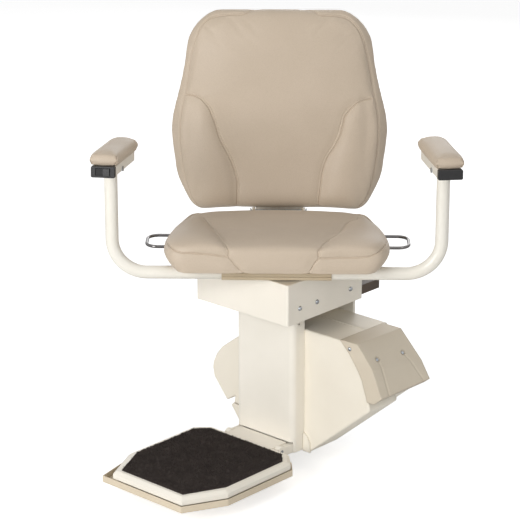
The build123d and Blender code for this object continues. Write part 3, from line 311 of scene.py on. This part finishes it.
def carpet(name, look):
    # looped carpet: dark fibres with a few paler flecks
    material, tree, shader, at = startFinish(name, look)
    loops = tree.nodes.new("ShaderNodeTexVoronoi")
    loops.inputs["Scale"].default_value = look["loops"]
    join(tree, at, loops.inputs["Vector"])
    fibres = noiseNode(tree, at, look["fibres"], 4, 0.7)
    patches = noiseNode(tree, at, look["mottle"], 4, 0.6)
    base = mixColours(tree, spread(tree, patches, 0, 1), linear(look["colour"]), linear(look["shade"]))
    base = mixColours(tree, spread(tree, fibres, -0.6, 0.9), base, linear(look["fleck"]))
    join(tree, base, shader.inputs["Base Color"])
    shader.inputs["Roughness"].default_value = 0.95
    height = combine(tree, "ADD", loops.outputs["Distance"], fibres)
    join(tree, bumpFrom(tree, height, 1.0, look["bump"]), shader.inputs["Normal"])
    return material


def plywood(name, look):
    # birch ply: long grain with finer, darker fibres
    material, tree, shader, at = startFinish(name, look)
    stretch = tree.nodes.new("ShaderNodeMapping")
    stretch.inputs["Scale"].default_value = (1, look["stretch"], look["stretch"])
    join(tree, at, stretch.inputs["Vector"])
    grain = noiseNode(tree, stretch.outputs["Vector"], look["grain"], 6, 0.65)
    fine = noiseNode(tree, stretch.outputs["Vector"], look["fibres"], 3)
    base = mixColours(tree, spread(tree, grain, 0, 1), linear(look["colour"]), linear(look["shade"]))
    base = mixColours(tree, spread(tree, fine, -0.4, 0.4), base, linear(look["crease"]))
    join(tree, base, shader.inputs["Base Color"])
    join(tree, spread(tree, fine, 0.55, 0.7), shader.inputs["Roughness"])
    join(tree, bumpFrom(tree, fine, 0.4, 0.0002), shader.inputs["Normal"])
    return material


def circuitBoard(name, look):
    # green solder mask with pale tracks, and dark parts where the board is thick
    material, tree, shader, at = startFinish(name, look)
    tracks = tree.nodes.new("ShaderNodeTexBrick")
    tracks.inputs["Scale"].default_value = look["scale"]
    tracks.inputs["Color1"].default_value = linear(look["colour"])
    tracks.inputs["Color2"].default_value = linear(look["shade"])
    tracks.inputs["Mortar"].default_value = linear(look["track"])
    tracks.inputs["Mortar Size"].default_value = 0.03
    flat = tree.nodes.new("ShaderNodeMapping")
    flat.inputs["Rotation"].default_value = (math.radians(90), 0, 0)
    join(tree, at, flat.inputs["Vector"])
    join(tree, flat.outputs["Vector"], tracks.inputs["Vector"])
    depth = tree.nodes.new("ShaderNodeSeparateXYZ")
    join(tree, at, depth.inputs[0])
    part = combine(tree, "LESS_THAN", depth.outputs["Y"], look["partsFrom"])
    base = mixColours(tree, part, tracks.outputs["Color"], linear(look["part"]))
    join(tree, base, shader.inputs["Base Color"])
    join(tree, spread(tree, noiseNode(tree, at, 300), 0.3, 0.5), shader.inputs["Roughness"])
    return material


looks = {
    "creamPaint": (paint, {"colour": (244, 238, 226), "shade": (238, 232, 219), "mottle": 9,
                           "grain": 1300, "rough": 0.42, "texture": 0.10, "edge": 0.0012,
                           "coat": 0.12, "coatRoughness": 0.3}),
    "coverPlastic": (paint, {"colour": (242, 235, 220), "shade": (236, 228, 212), "mottle": 8,
                             "grain": 2100, "rough": 0.46, "texture": 0.16, "edge": 0.004}),
    "endPlastic": (paint, {"colour": (212, 201, 182), "shade": (204, 192, 172), "mottle": 10,
                           "grain": 2100, "rough": 0.5, "texture": 0.18, "edge": 0.004}),
    "bracketPaint": (paint, {"colour": (196, 180, 152), "shade": (188, 171, 143), "mottle": 14,
                             "grain": 1300, "rough": 0.45, "texture": 0.10, "edge": 0.0012}),
    "tubePaint": (paint, {"colour": (238, 234, 224), "shade": (233, 228, 216), "mottle": 12,
                          "grain": 1500, "rough": 0.34, "texture": 0.06, "edge": 0.0015,
                          "coat": 0.25, "coatRoughness": 0.2}),
    "panPlastic": (paint, {"colour": (222, 208, 184), "shade": (214, 199, 174), "mottle": 10,
                           "grain": 2000, "rough": 0.5, "texture": 0.15, "edge": 0.002}),
    # rear channels: the beige chassis paint darkened to dark brown as painted shade, for the shadow they
    # sit in under the seat
    "channelPaint": (paint, {"colour": (82, 66, 50), "shade": (68, 54, 41), "mottle": 24, "grain": 1300,
                             "rough": 0.45, "texture": 0.12, "edge": 0.001}),
    "blackSteel": (paint, {"colour": (42, 40, 38), "shade": (33, 31, 30), "mottle": 20, "grain": 1200,
                           "rough": 0.48, "texture": 0.12, "edge": 0.001}),
    "blackPlastic": (paint, {"colour": (20, 19, 20), "shade": (15, 14, 15), "mottle": 40, "grain": 2600,
                             "rough": 0.4, "texture": 0.18, "edge": 0.001}),
    "batteryCase": (paint, {"colour": (48, 49, 54), "shade": (40, 41, 45), "mottle": 16, "grain": 1800,
                            "rough": 0.55, "texture": 0.15, "edge": 0.001}),
    "nylon": (paint, {"colour": (226, 223, 213), "shade": (215, 211, 200), "mottle": 30, "grain": 1500,
                      "rough": 0.45, "texture": 0.08, "edge": 0.0008}),
    "castHousing": (paint, {"colour": (120, 121, 122), "shade": (100, 101, 103), "mottle": 30,
                            "grain": 700, "rough": 0.55, "texture": 0.4, "edge": 0.0015,
                            "metallic": 0.7}),
    # the vinyl's crease colour is painted shade for the valleys of the grain
    "beigeVinyl": (vinyl, {"colour": (202, 186, 167), "shade": (195, 179, 159), "crease": (174, 157, 136),
                           "cells": 820, "pores": 3200, "mottle": 7, "rough": 0.5, "depth": 0.22,
                           "sheen": 0.06, "sheenRoughness": 0.4, "specular": 0.42, "warp": 260,
                           "warpBy": 0.0012, "creaseWidth": 0.18, "poreDepth": 0.35, "bump": 0.00035}),
    "thread": (paint, {"colour": (222, 207, 184), "shade": (206, 190, 166), "mottle": 300, "grain": 4000,
                       "rough": 0.6, "texture": 0.3, "edge": 0.0001}),
    "zinc": (metal, {"colour": (176, 180, 184), "shade": (150, 153, 156), "mottle": 90, "grain": 500,
                     "rough": 0.27, "texture": 0.08, "edge": 0.0004, "metallic": 1.0}),
    "darkChrome": (metal, {"colour": (122, 119, 118), "shade": (104, 102, 102), "mottle": 40,
                           "grain": 900, "rough": 0.1, "texture": 0.02, "edge": 0.0004, "metallic": 1.0}),
    "carpet": (carpet, {"colour": (68, 61, 58), "shade": (54, 48, 46), "fleck": (108, 99, 94),
                        "loops": 900, "fibres": 1800, "mottle": 40, "specular": 0.1, "bump": 0.0012}),
    "plywood": (plywood, {"colour": (204, 172, 126), "shade": (184, 150, 105), "crease": (150, 116, 76),
                          "stretch": 12, "grain": 14, "fibres": 90}),
    "circuitBoard": (circuitBoard, {"colour": (24, 92, 52), "shade": (20, 82, 46), "track": (70, 140, 88),
                                    "part": (38, 38, 40), "scale": 160, "partsFrom": -0.0582}),
}
finishes = {name: make(name, look) for name, (make, look) in looks.items()}

# which finish each solid of the frame shows
dressing = {
    "creamPaint": ["chassis_plate", "swivel_housing", "column_cover", "footrest_bracket",
                   "footrest_platform"],
    "coverPlastic": ["main_cover", "rear_cover", "lower_end_cover", "lower_skirt", "column_foot"],
    "endPlastic": ["upper_end_cover"],
    "bracketPaint": ["seat_bracket", "arm_receiver"],
    "tubePaint": ["back_plate", "seat_hinge_arms", "arm_tube_left", "arm_tube_right",
                  "armrest_carrier_left", "armrest_carrier_right"],
    "panPlastic": ["footrest_pan"],
    # the rear channels take the paint darkened as painted shade
    "channelPaint": ["rear_channels"],
    "blackSteel": ["seat_post", "swivel_frame", "drive_motor", "battery_tray", "turntable"],
    "blackPlastic": ["armrest_cap_left", "armrest_cap_right", "rocker_switch"],
    "batteryCase": ["batteries"],
    "nylon": ["thrust_ring", "guide_roller_1", "guide_roller_2", "guide_roller_3", "guide_roller_4"],
    "castHousing": ["gearbox"],
    "zinc": ["housing_bolts", "cover_screws", "board_screws", "back_bolts", "spindle", "drive_pinion",
             "roller_axles", "footrest_pin", "seat_hinge_pin", "armrest_pin_left", "armrest_pin_right",
             "latch_pin", "pan_springs"],
    "darkChrome": ["swivel_lever_left", "swivel_lever_right"],
    "carpet": ["footrest_mat"],
    "plywood": ["seat_board"],
    "circuitBoard": ["control_board"],
    "beigeVinyl": ["seat_cushion", "back_cushion", "back_board", "armrest_pad_left", "armrest_pad_right"],
}


def dress(obj, material):
    obj.data.materials.clear()
    obj.data.materials.append(material)


def addPiece(name, mesh, body, material, slot, *replaced):
    piece = bpy.data.objects.new(name, mesh)
    scene.collection.objects.link(piece)
    dress(piece, material)
    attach(piece, body)
    if replaced:
        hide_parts(*replaced)
    return piece


for finish, members in dressing.items():
    for member in members:
        dress(nodes[member], finishes[finish])
print("solids dressed:", sum(len(v) for v in dressing.values()))


# upholstery: each cushion is shaped in its own flat frame, in metres, and put in place at the end;
# seat: x across, y away from the front, z up; back: x across, y to the rear, z up; pads: y to the rear
def bell(value, centre, width):
    return math.exp(-((value - centre) / width) ** 2)


def ramp(value, low, high):
    t = min(1.0, max(0.0, (value - low) / (high - low)))
    return t * t * (3 - 2 * t)


# each pair is where an effect starts and where it is whole
seatShape = {"top": (0.014, 0.034), "rearLift": 0.0055, "rear": (0.11, 0.31),
             "wingLift": 0.0065, "wingAt": (0.165, 0.195), "wingReach": (0.042, 0.075),
             "frontDrop": 0.0055, "front": (0.008, 0.045), "low": (0.008, 0.026),
             "base": 0.0065, "boardTop": 0.0158, "boardHalf": 0.178, "boardFrom": 0.006, "boardTo": 0.346}
backShape = {"boxFlare": 0.015, "edge": (0.10, 0.16), "depth": (0.016, 0.044), "lowEnd": (-0.01, 0.06),
             "topEnd": 0.40, "topFade": 0.08, "cornerOut": 0.010, "cornerDown": 0.006,
             "cornerAt": 0.160, "cornerReach": 0.034, "cornerTop": 0.058, "cornerFade": 0.055,
             "sideShift": 0.0012, "rear": 0.0495}
padShape = {"crown": 0.0014, "frontEnd": (-0.066, -0.03), "rearEnd": 0.134, "rearFade": 0.03,
            "high": (0.02, 0.040), "base": 0.0160}


def shapeSeat(p):
    # the rear and the wings stand higher than the solid, and the front edge hangs lower
    top = ramp(p.z, *seatShape["top"])
    wing = bell(abs(p.x), seatShape["wingAt"][0], seatShape["wingReach"][0])
    wing *= bell(p.y, seatShape["wingAt"][1], seatShape["wingReach"][1])
    lift = seatShape["rearLift"] * ramp(p.y, *seatShape["rear"]) + seatShape["wingLift"] * wing
    drop = seatShape["frontDrop"] * (1 - ramp(p.y, *seatShape["front"]))
    drop = drop * (1 - ramp(p.z, *seatShape["low"]))
    return Vector((p.x, p.y, p.z + lift * top - drop))


def shapeBack(p):
    # the side boxing runs straight back to the board, and the lower corners reach out and down
    side = math.copysign(1, p.x)
    flare = backShape["boxFlare"] * ramp(abs(p.x), *backShape["edge"]) * ramp(p.y, *backShape["depth"])
    flare = flare * ramp(p.z, *backShape["lowEnd"])
    flare = flare * ramp(backShape["topEnd"] - p.z, 0, backShape["topFade"])
    corner = bell(abs(p.x), backShape["cornerAt"], backShape["cornerReach"])
    corner *= ramp(backShape["cornerTop"] - p.z, 0, backShape["cornerFade"])
    return Vector((p.x + side * (flare + backShape["cornerOut"] * corner) + backShape["sideShift"], p.y,
                   p.z - backShape["cornerDown"] * corner))


def shapePad(p):
    # the top crowns along its length
    along = ramp(p.y, *padShape["frontEnd"]) * ramp(padShape["rearEnd"] - p.y, 0, padShape["rearFade"])
    high = ramp(p.z, *padShape["high"])
    return Vector((p.x, p.y, p.z + padShape["crown"] * along * high))


def seatHeld(p):
    overBoard = (abs(p.x) < seatShape["boardHalf"]
                 and seatShape["boardFrom"] < p.y < seatShape["boardTo"])
    return p.z < seatShape["base"] or (p.z < seatShape["boardTop"] and overBoard)


def backHeld(p):
    return p.y > backShape["rear"]


def padHeld(p):
    return p.z < padShape["base"]


def seam(wing, row, *points):
    # wing: the side of the line that the topstitch and the ridge are on; row: whether it has a topstitch
    return {"wing": wing, "row": row, "points": points}


# seams as read off the photograph, in each cushion's flat frame (millimetres)
seatRearSide = ((213, 132, 42), (200, 192, 41), (187, 226, 44), (180, 253, 41), (170, 303, 39),
                (150, 343, 38))
seatSeams = [
    seam(1, True, (-146, 252, 42), (-142, 238.5, 43), (-132, 195.2, 46), (-120, 149.4, 49),
         (-105, 54.4, 60), (-95, 26.2, 57), (-89, 3.7, 51), (-88, 0, 41), (-89, 0, 30)),
    seam(-1, False, (-89, 0, 30), (-83, 0, 25), (-75, 0, 14), (-66, 1, 3)),
    seam(1, False, (-90, 0, 31), (-109, 0, 34), (-126, 0, 36), (-152, 0, 38), (-172, 0.3, 39),
         (-187, 5.2, 42), (-199, 21.1, 47), (-211, 80.3, 44), *((-x, y, z) for x, y, z in seatRearSide)),
    seam(-1, True, (156, 250, 43), (153, 239, 44), (136, 215.3, 45), (125, 165.4, 48), (112, 97.4, 57),
         (98, 58.1, 57), (86, 24.5, 55), (79, 4.5, 50), (77, 0, 42), (78, 0, 31)),
    seam(1, False, (78, 0, 31), (77, 0, 27), (70, 0, 18), (63, 1.4, 4)),
    seam(-1, False, (79, 0, 30), (93, 0, 30), (116, 0, 31), (139, 0, 31), (159, 0, 32), (177, 0.5, 35),
         (191, 7.4, 41), (203, 32.9, 48), (211, 80, 45), *seatRearSide),
]
backSeams = [
    seam(-1, True, (-189, 14.6, 222), (-175, 7.7, 221), (-160, 1.3, 216), (-148, -1.3, 207),
         (-138, -0.3, 195), (-131, 0.6, 179), (-124, 0.4, 160), (-116, -0.4, 135), (-105, 1.6, 112),
         (-94, 3.1, 89), (-87, 3.7, 67), (-82, 3.7, 44), (-82, 3.6, 18), (-83, 11.5, -3)),
    seam(1, True, (188, 11.7, 215), (174, 7, 213), (157, -0.7, 207), (143, -1.8, 196), (132, 0.2, 181),
         (126, -0.1, 161), (119, -1.2, 139), (108, 0.5, 116), (97, 3, 96), (89, 3.6, 73), (85, 3.9, 48),
         (82, 3.6, 19), (81, 9.3, 0)),
    seam(1, True, (-52, 27, 393), (-57, 20.1, 392), (-65, 12, 387), (-74, 9, 383), (-99, 10, 382),
         (-122, 14.2, 379), (-141, 14.3, 373), (-157, 14.4, 359), (-166, 15, 339), (-174, 18.9, 317),
         (-180, 22, 289), (-185, 20, 258), (-189, 16.1, 228), (-196, 15, 199), (-200, 10, 160),
         (-200, 10, 118), (-195, 12, 75), (-184, 15, 38), (-158, 22, 0)),
    seam(-1, True, (56, 27, 393), (68, 19, 391), (78, 10, 384), (92, 9.1, 381), (117, 13.1, 380),
         (134, 14.6, 375), (147, 12.9, 366), (159, 12.9, 352), (169, 15.1, 330), (176, 19, 304),
         (183, 21, 274), (188, 19, 246), (191, 16.5, 221), (197, 14.8, 199), (201, 9.2, 160),
         (200, 10.1, 118), (195, 11.7, 75), (186, 14.5, 38), (160, 22, 0)),
]
padFront = ((21, -65, 15), (26, -64.5, 22), (27.5, -62, 30), (25, -58, 37))
padRear = ((21, 133, 15), (26, 132.5, 22), (27.5, 130, 30), (25, 126, 37))
padSeams = [seam(-side, False, *((side * x, y, z) for x, y, z in fold))
            for fold in (padFront, padRear) for side in (-1, 1)]
seamLook = {"groove": 0.0021, "grooveWidth": 0.00141,
            "row": 0.0040, "rowDent": 0.0008, "rowWidth": 0.001269,
            "broad": 0.0016, "broadWidth": 0.01128, "pucker": 0.0005, "puckers": 95, "across": 20,
            "held": 0.0035, "step": 0.0006, "fine": 0.0055, "coarse": 0.0110,
            "reach": 0.026, "fadeFrom": 0.012, "fade": 0.006, "endFade": 0.004, "endSteps": 4}
stitchLook = {"pitch": 0.0031, "radius": 0.00042, "length": 0.0025, "sink": 0.0003, "spare": 6}
clothPlan = {"frames": 20, "quality": 5, "mass": 0.3, "pressure": 4.0, "weld": 0.00002, "easing": 3}

cushionPlans = {
    "seatUpholstery": {"node": "seat_cushion", "place": boardPlace, "body": "seat_fold",
                       "shape": shapeSeat, "held": seatHeld, "seams": seatSeams,
                       "voxel": 0.0052, "drawIn": 0.0028, "cap": 0.022, "fill": 0.8},
    "backUpholstery": {"node": "back_cushion", "place": backPlace, "body": "seat",
                       "shape": shapeBack, "held": backHeld, "seams": backSeams,
                       "voxel": 0.0052, "drawIn": 0.0026, "cap": 0.022, "fill": 0.7},
}
for word in ("left", "right"):
    cushionPlans["armPad" + word.capitalize()] = {
        "node": "armrest_pad_" + word, "place": armrestPlace(word), "body": "armrest_" + word,
        "shape": shapePad, "held": padHeld, "seams": padSeams, "voxel": 0.0040, "drawIn": 0.0012,
        "cap": 0.005, "fill": 0.9}


def flatCopy(plan):
    shape = bmesh.new()
    shape.from_mesh(nodes[plan["node"]].data)
    bmesh.ops.remove_doubles(shape, verts=shape.verts, dist=clothPlan["weld"])
    bmesh.ops.transform(shape, matrix=plan["place"].inverted(), verts=shape.verts)
    bmesh.ops.recalc_face_normals(shape, faces=shape.faces)
    mesh = bpy.data.meshes.new(plan["node"] + "Flat")
    shape.to_mesh(mesh)
    shape.free()
    return mesh


def baked(obj):
    # the object's shape with its modifiers, as a plain mesh
    bpy.context.view_layer.update()
    mesh = bpy.data.meshes.new_from_object(obj.evaluated_get(bpy.context.evaluated_depsgraph_get()))
    obj.modifiers.clear()
    return mesh


def throughModifier(mesh, kind, **settings):
    holder = bpy.data.objects.new("holder", mesh)
    scene.collection.objects.link(holder)
    modifier = holder.modifiers.new("step", kind)
    for key, value in settings.items():
        setattr(modifier, key, value)
    result = baked(holder)
    bpy.data.objects.remove(holder)
    return result


def smoothPath(points, step):
    # even points along a curve through the given ones (millimetres in, metres out)
    places = [Vector(point) / 1000 for point in points]
    path = []
    for i in range(len(places) - 1):
        before, start, end = places[max(i - 1, 0)], places[i], places[i + 1]
        after = places[min(i + 2, len(places) - 1)]
        count = max(2, int((end - start).length / step))
        for k in range(count):
            t = k / count
            path.append(0.5 * (2 * start + (end - before) * t
                               + (2 * before - 5 * start + 4 * end - after) * t * t
                               + (3 * start - before - 3 * end + after) * t ** 3))
    path.append(places[-1])
    return path


def layOn(path, tree):
    # the path pulled onto the cover, with the way along it and the cover's normal
    spots = [tree.find_nearest(point)[:2] for point in path]
    laid = []
    for i, (spot, normal) in enumerate(spots):
        along = spots[min(i + 3, len(spots) - 1)][0] - spots[max(i - 3, 0)][0]
        laid.append((spot, along.normalized(), normal))
    return laid


def seamFinder(lines):
    spots, owners = [], []
    for line in lines:
        for i, spot in enumerate(line["laid"]):
            spots.append(spot)
            owners.append((line, i))
    finder = KDTree(len(spots))
    for i, spot in enumerate(spots):
        finder.insert(spot[0], i)
    finder.balance()
    return finder, spots, owners


def startCushion(name, plan):
    mesh = throughModifier(flatCopy(plan), "REMESH", mode="VOXEL", voxel_size=plan["voxel"])
    shape = bmesh.new()
    shape.from_mesh(mesh)
    held = {v.index for v in shape.verts if plan["held"](v.co)}
    for vertex in shape.verts:
        vertex.co = plan["shape"](vertex.co)
    free = [v for v in shape.verts if v.index not in held]
    for _ in range(clothPlan["easing"]):
        bmesh.ops.smooth_vert(shape, verts=free, factor=0.5,
                              use_axis_x=True, use_axis_y=True, use_axis_z=True)
    shape.normal_update()
    for vertex in free:
        vertex.co -= vertex.normal * plan["drawIn"]
    tree = BVHTree.FromBMesh(shape)
    plan["lines"] = [dict(line, laid=layOn(smoothPath(line["points"], seamLook["step"]), tree))
                     for line in plan["seams"]]
    finder = seamFinder(plan["lines"])[0]
    pinned = [v.index for v in shape.verts if v.index in held or finder.find(v.co)[2] < seamLook["held"]]
    shape.to_mesh(mesh)
    shape.free()
    obj = bpy.data.objects.new(name + "Start", mesh)
    scene.collection.objects.link(obj)
    obj.vertex_groups.new(name="held").add(pinned, 1.0, "REPLACE")
    return obj


def swell(jobs):
    # pressure pushes every panel out between its sewn and resting edges
    for plan, obj in jobs:
        cloth = obj.modifiers.new("Cloth", "CLOTH")
        settings = cloth.settings
        settings.quality = clothPlan["quality"]
        settings.mass = clothPlan["mass"]
        settings.use_pressure = True
        settings.uniform_pressure_force = clothPlan["pressure"]
        settings.effector_weights.gravity = 0
        settings.vertex_group_mass = "held"
        cloth.point_cache.frame_start = 1
        cloth.point_cache.frame_end = clothPlan["frames"]
    for number in range(1, clothPlan["frames"] + 1):
        scene.frame_set(number)
    graph = bpy.context.evaluated_depsgraph_get()
    for plan, obj in jobs:
        moved = [v.co.copy() for v in obj.evaluated_get(graph).data.vertices]
        obj.modifiers.clear()
        furthest = 0.0
        for vertex, place in zip(obj.data.vertices, moved):
            shift = place - vertex.co
            furthest = max(furthest, shift.length)
            if shift.length > plan["cap"]:
                shift = shift * (plan["cap"] / shift.length)
            vertex.co += shift
        print("swelled", obj.name, len(moved), "points, furthest", round(1000 * furthest, 1), "mm")
    scene.frame_set(1)


def pressSeams(shape, lines):
    # a groove on each seam, a dent under the topstitch, and a broad dip with slight puckers
    tree = BVHTree.FromBMesh(shape)
    for line in lines:
        line["laid"] = layOn([spot[0] for spot in line["laid"]], tree)
    finder, spots, owners = seamFinder(lines)
    for reach in (seamLook["coarse"], seamLook["fine"]):
        edges = [e for e in shape.edges if finder.find((e.verts[0].co + e.verts[1].co) / 2)[2] < reach]
        bmesh.ops.subdivide_edges(shape, edges=edges, cuts=1, use_grid_fill=True)
    shape.normal_update()
    for vertex in shape.verts:
        _, index, gap = finder.find(vertex.co)
        if gap > seamLook["reach"]:
            continue
        line, i = owners[index]
        spot, along, normal = spots[index]
        side = (vertex.co - spot).dot(along.cross(normal)) * line["wing"]
        toEnd = min(i, len(line["laid"]) - 1 - i) + seamLook["endSteps"]
        span = min(1.0, toEnd * seamLook["step"] / seamLook["endFade"])
        depth = seamLook["groove"] * bell(side, 0, seamLook["grooveWidth"])
        if line["row"]:
            depth += seamLook["rowDent"] * bell(side, seamLook["row"], seamLook["rowWidth"])
        broad = bell(side, 0, seamLook["broadWidth"])
        ripple = noise.noise(spot * seamLook["puckers"] + along * (side * seamLook["across"]))
        depth += (seamLook["broad"] + seamLook["pucker"] * ripple) * broad
        fade = bell(max(0.0, gap - seamLook["fadeFrom"]), 0, seamLook["fade"])
        vertex.co -= vertex.normal * depth * span * fade


def startTree(name, numbers, whole, material):
    # a mesh in and out, the named inputs in this order, and a material
    tree = bpy.data.node_groups.new(name, "GeometryNodeTree")
    face = tree.interface
    face.new_socket("Geometry", in_out="INPUT", socket_type="NodeSocketGeometry")
    for label in numbers:
        face.new_socket(label, in_out="INPUT", socket_type="NodeSocketFloat")
    for label in whole:
        face.new_socket(label, in_out="INPUT", socket_type="NodeSocketInt")
    face.new_socket(material, in_out="INPUT", socket_type="NodeSocketMaterial")
    face.new_socket("Geometry", in_out="OUTPUT", socket_type="NodeSocketGeometry")
    return tree, tree.nodes.new("NodeGroupInput").outputs


def endTree(tree, instances, material):
    # instances become plain faces in one material
    real = tree.nodes.new("GeometryNodeRealizeInstances")
    cover = tree.nodes.new("GeometryNodeSetMaterial")
    join(tree, instances, real.inputs["Geometry"])
    join(tree, real.outputs["Geometry"], cover.inputs["Geometry"])
    join(tree, material, cover.inputs["Material"])
    join(tree, cover.outputs["Geometry"], tree.nodes.new("NodeGroupOutput").inputs["Geometry"])


def stitchTree():
    # a bead laid along the row at every pitch
    tree, given = startTree("stitchRow", ("Pitch", "Radius", "Length"), (), "Thread")
    make = tree.nodes.new
    curve, points = make("GeometryNodeMeshToCurve"), make("GeometryNodeCurveToPoints")
    points.mode = "LENGTH"
    bead = make("GeometryNodeMeshUVSphere")
    bead.inputs["Segments"].default_value = 6
    bead.inputs["Rings"].default_value = 4
    bead.inputs["Radius"].default_value = 1.0
    size, place = make("ShaderNodeCombineXYZ"), make("GeometryNodeInstanceOnPoints")
    join(tree, given["Geometry"], curve.inputs["Mesh"])
    join(tree, curve.outputs["Curve"], points.inputs["Curve"])
    join(tree, given["Pitch"], points.inputs["Length"])
    join(tree, given["Radius"], size.inputs["X"])
    join(tree, given["Radius"], size.inputs["Y"])
    join(tree, combine(tree, "MULTIPLY", given["Length"], 0.5), size.inputs["Z"])
    join(tree, points.outputs["Points"], place.inputs["Points"])
    join(tree, points.outputs["Rotation"], place.inputs["Rotation"])
    join(tree, bead.outputs["Mesh"], place.inputs["Instance"])
    join(tree, size.outputs[0], place.inputs["Scale"])
    endTree(tree, place.outputs["Instances"], given["Thread"])
    return tree


def throughNodes(mesh, tree, values):
    # runs a mesh through a node tree and gives back a plain mesh
    holder = bpy.data.objects.new("holder", mesh)
    scene.collection.objects.link(holder)
    modifier = holder.modifiers.new("step", "NODES")
    modifier.node_group = tree
    for item in tree.interface.items_tree:
        if item.item_type == "SOCKET" and item.in_out == "INPUT" and item.name in values:
            modifier[item.identifier] = values[item.name]
    result = baked(holder)
    bpy.data.objects.remove(holder)
    return result


def stitchRows(name, plan, tree, shape):
    surface = BVHTree.FromBMesh(shape)
    corners, edges = [], []
    for line in plan["lines"]:
        if not line["row"]:
            continue
        first = len(corners)
        for spot, along, normal in line["laid"][stitchLook["spare"]:-stitchLook["spare"]]:
            aside = spot + along.cross(normal) * (line["wing"] * seamLook["row"])
            on, up = surface.find_nearest(aside)[:2]
            corners.append(on - up * stitchLook["sink"])
        edges += [(i, i + 1) for i in range(first, len(corners) - 1)]
    mesh = bpy.data.meshes.new(name + "Rows")
    mesh.from_pydata(corners, edges, [])
    return throughNodes(mesh, tree, {"Pitch": stitchLook["pitch"], "Radius": stitchLook["radius"],
                                     "Length": stitchLook["length"], "Thread": finishes["thread"]})


def finishCushion(name, plan, obj, tree):
    mesh = throughModifier(obj.data, "SUBSURF", levels=1, render_levels=1)
    bpy.data.objects.remove(obj)
    shape = bmesh.new()
    shape.from_mesh(mesh)
    pressSeams(shape, plan["lines"])
    shape.normal_update()
    rows = stitchRows(name, plan, tree, shape) if any(line["row"] for line in plan["lines"]) else None
    for face in shape.faces:
        face.smooth = True
    shape.to_mesh(mesh)
    shape.free()
    mesh.transform(plan["place"])
    piece = addPiece(name, mesh, plan["body"], finishes["beigeVinyl"], "upholstery", plan["node"])
    if rows:
        rows.transform(plan["place"])
        addPiece(name + "Stitches", rows, plan["body"], finishes["thread"], "upholstery")
    print(name, len(mesh.polygons), "faces")


matPile = {"density": 120000.0, "seed": 7, "height": 0.0026, "width": 0.0011, "tip": 0.0002, "tilt": 0.5,
           "faceUp": 0.9}


def pileTree():
    # short tufts scattered over the faces, each leaning its own way
    tree, given = startTree("matPile", ("Density", "Width", "Height", "Tilt"), ("Seed",), "Carpet")
    make = tree.nodes.new
    scatter, place = make("GeometryNodeDistributePointsOnFaces"), make("GeometryNodeInstanceOnPoints")
    tuft, lean = make("GeometryNodeMeshCone"), make("FunctionNodeRandomValue")
    tuft.inputs["Vertices"].default_value = 4
    tuft.inputs["Radius Top"].default_value = matPile["tip"]
    lean.data_type = "FLOAT_VECTOR"
    join(tree, given["Geometry"], scatter.inputs["Mesh"])
    join(tree, given["Density"], scatter.inputs["Density"])
    join(tree, given["Seed"], scatter.inputs["Seed"])
    join(tree, given["Width"], tuft.inputs["Radius Bottom"])
    join(tree, given["Height"], tuft.inputs["Depth"])
    join(tree, combine(tree, "MULTIPLY", given["Tilt"], -1.0), lean.inputs["Min"])
    join(tree, given["Tilt"], lean.inputs["Max"])
    join(tree, given["Seed"], lean.inputs["Seed"])
    join(tree, scatter.outputs["Points"], place.inputs["Points"])
    join(tree, tuft.outputs["Mesh"], place.inputs["Instance"])
    join(tree, lean.outputs["Value"], place.inputs["Rotation"])
    endTree(tree, place.outputs["Instances"], given["Carpet"])
    return tree


def growPile():
    # short tufts over the mat's top face only
    top = bmesh.new()
    top.from_mesh(nodes["footrest_mat"].data)
    bmesh.ops.delete(top, geom=[f for f in top.faces if f.normal.z < matPile["faceUp"]],
                     context="FACES")
    mesh = bpy.data.meshes.new("matTop")
    top.to_mesh(mesh)
    top.free()
    tufts = throughNodes(mesh, pileTree(), {"Density": matPile["density"], "Seed": matPile["seed"],
                                            "Width": matPile["width"], "Height": matPile["height"],
                                            "Tilt": matPile["tilt"], "Carpet": finishes["carpet"]})
    addPiece("matTufts", tufts, "footrest", finishes["carpet"], "mat")
    print("mat tufts:", len(tufts.polygons), "faces")


jobs = [(plan, startCushion(name, plan)) for name, plan in cushionPlans.items()]
swell(jobs)
stitching = stitchTree()
for (name, plan), (_, obj) in zip(cushionPlans.items(), jobs):
    finishCushion(name, plan, obj, stitching)
growPile()
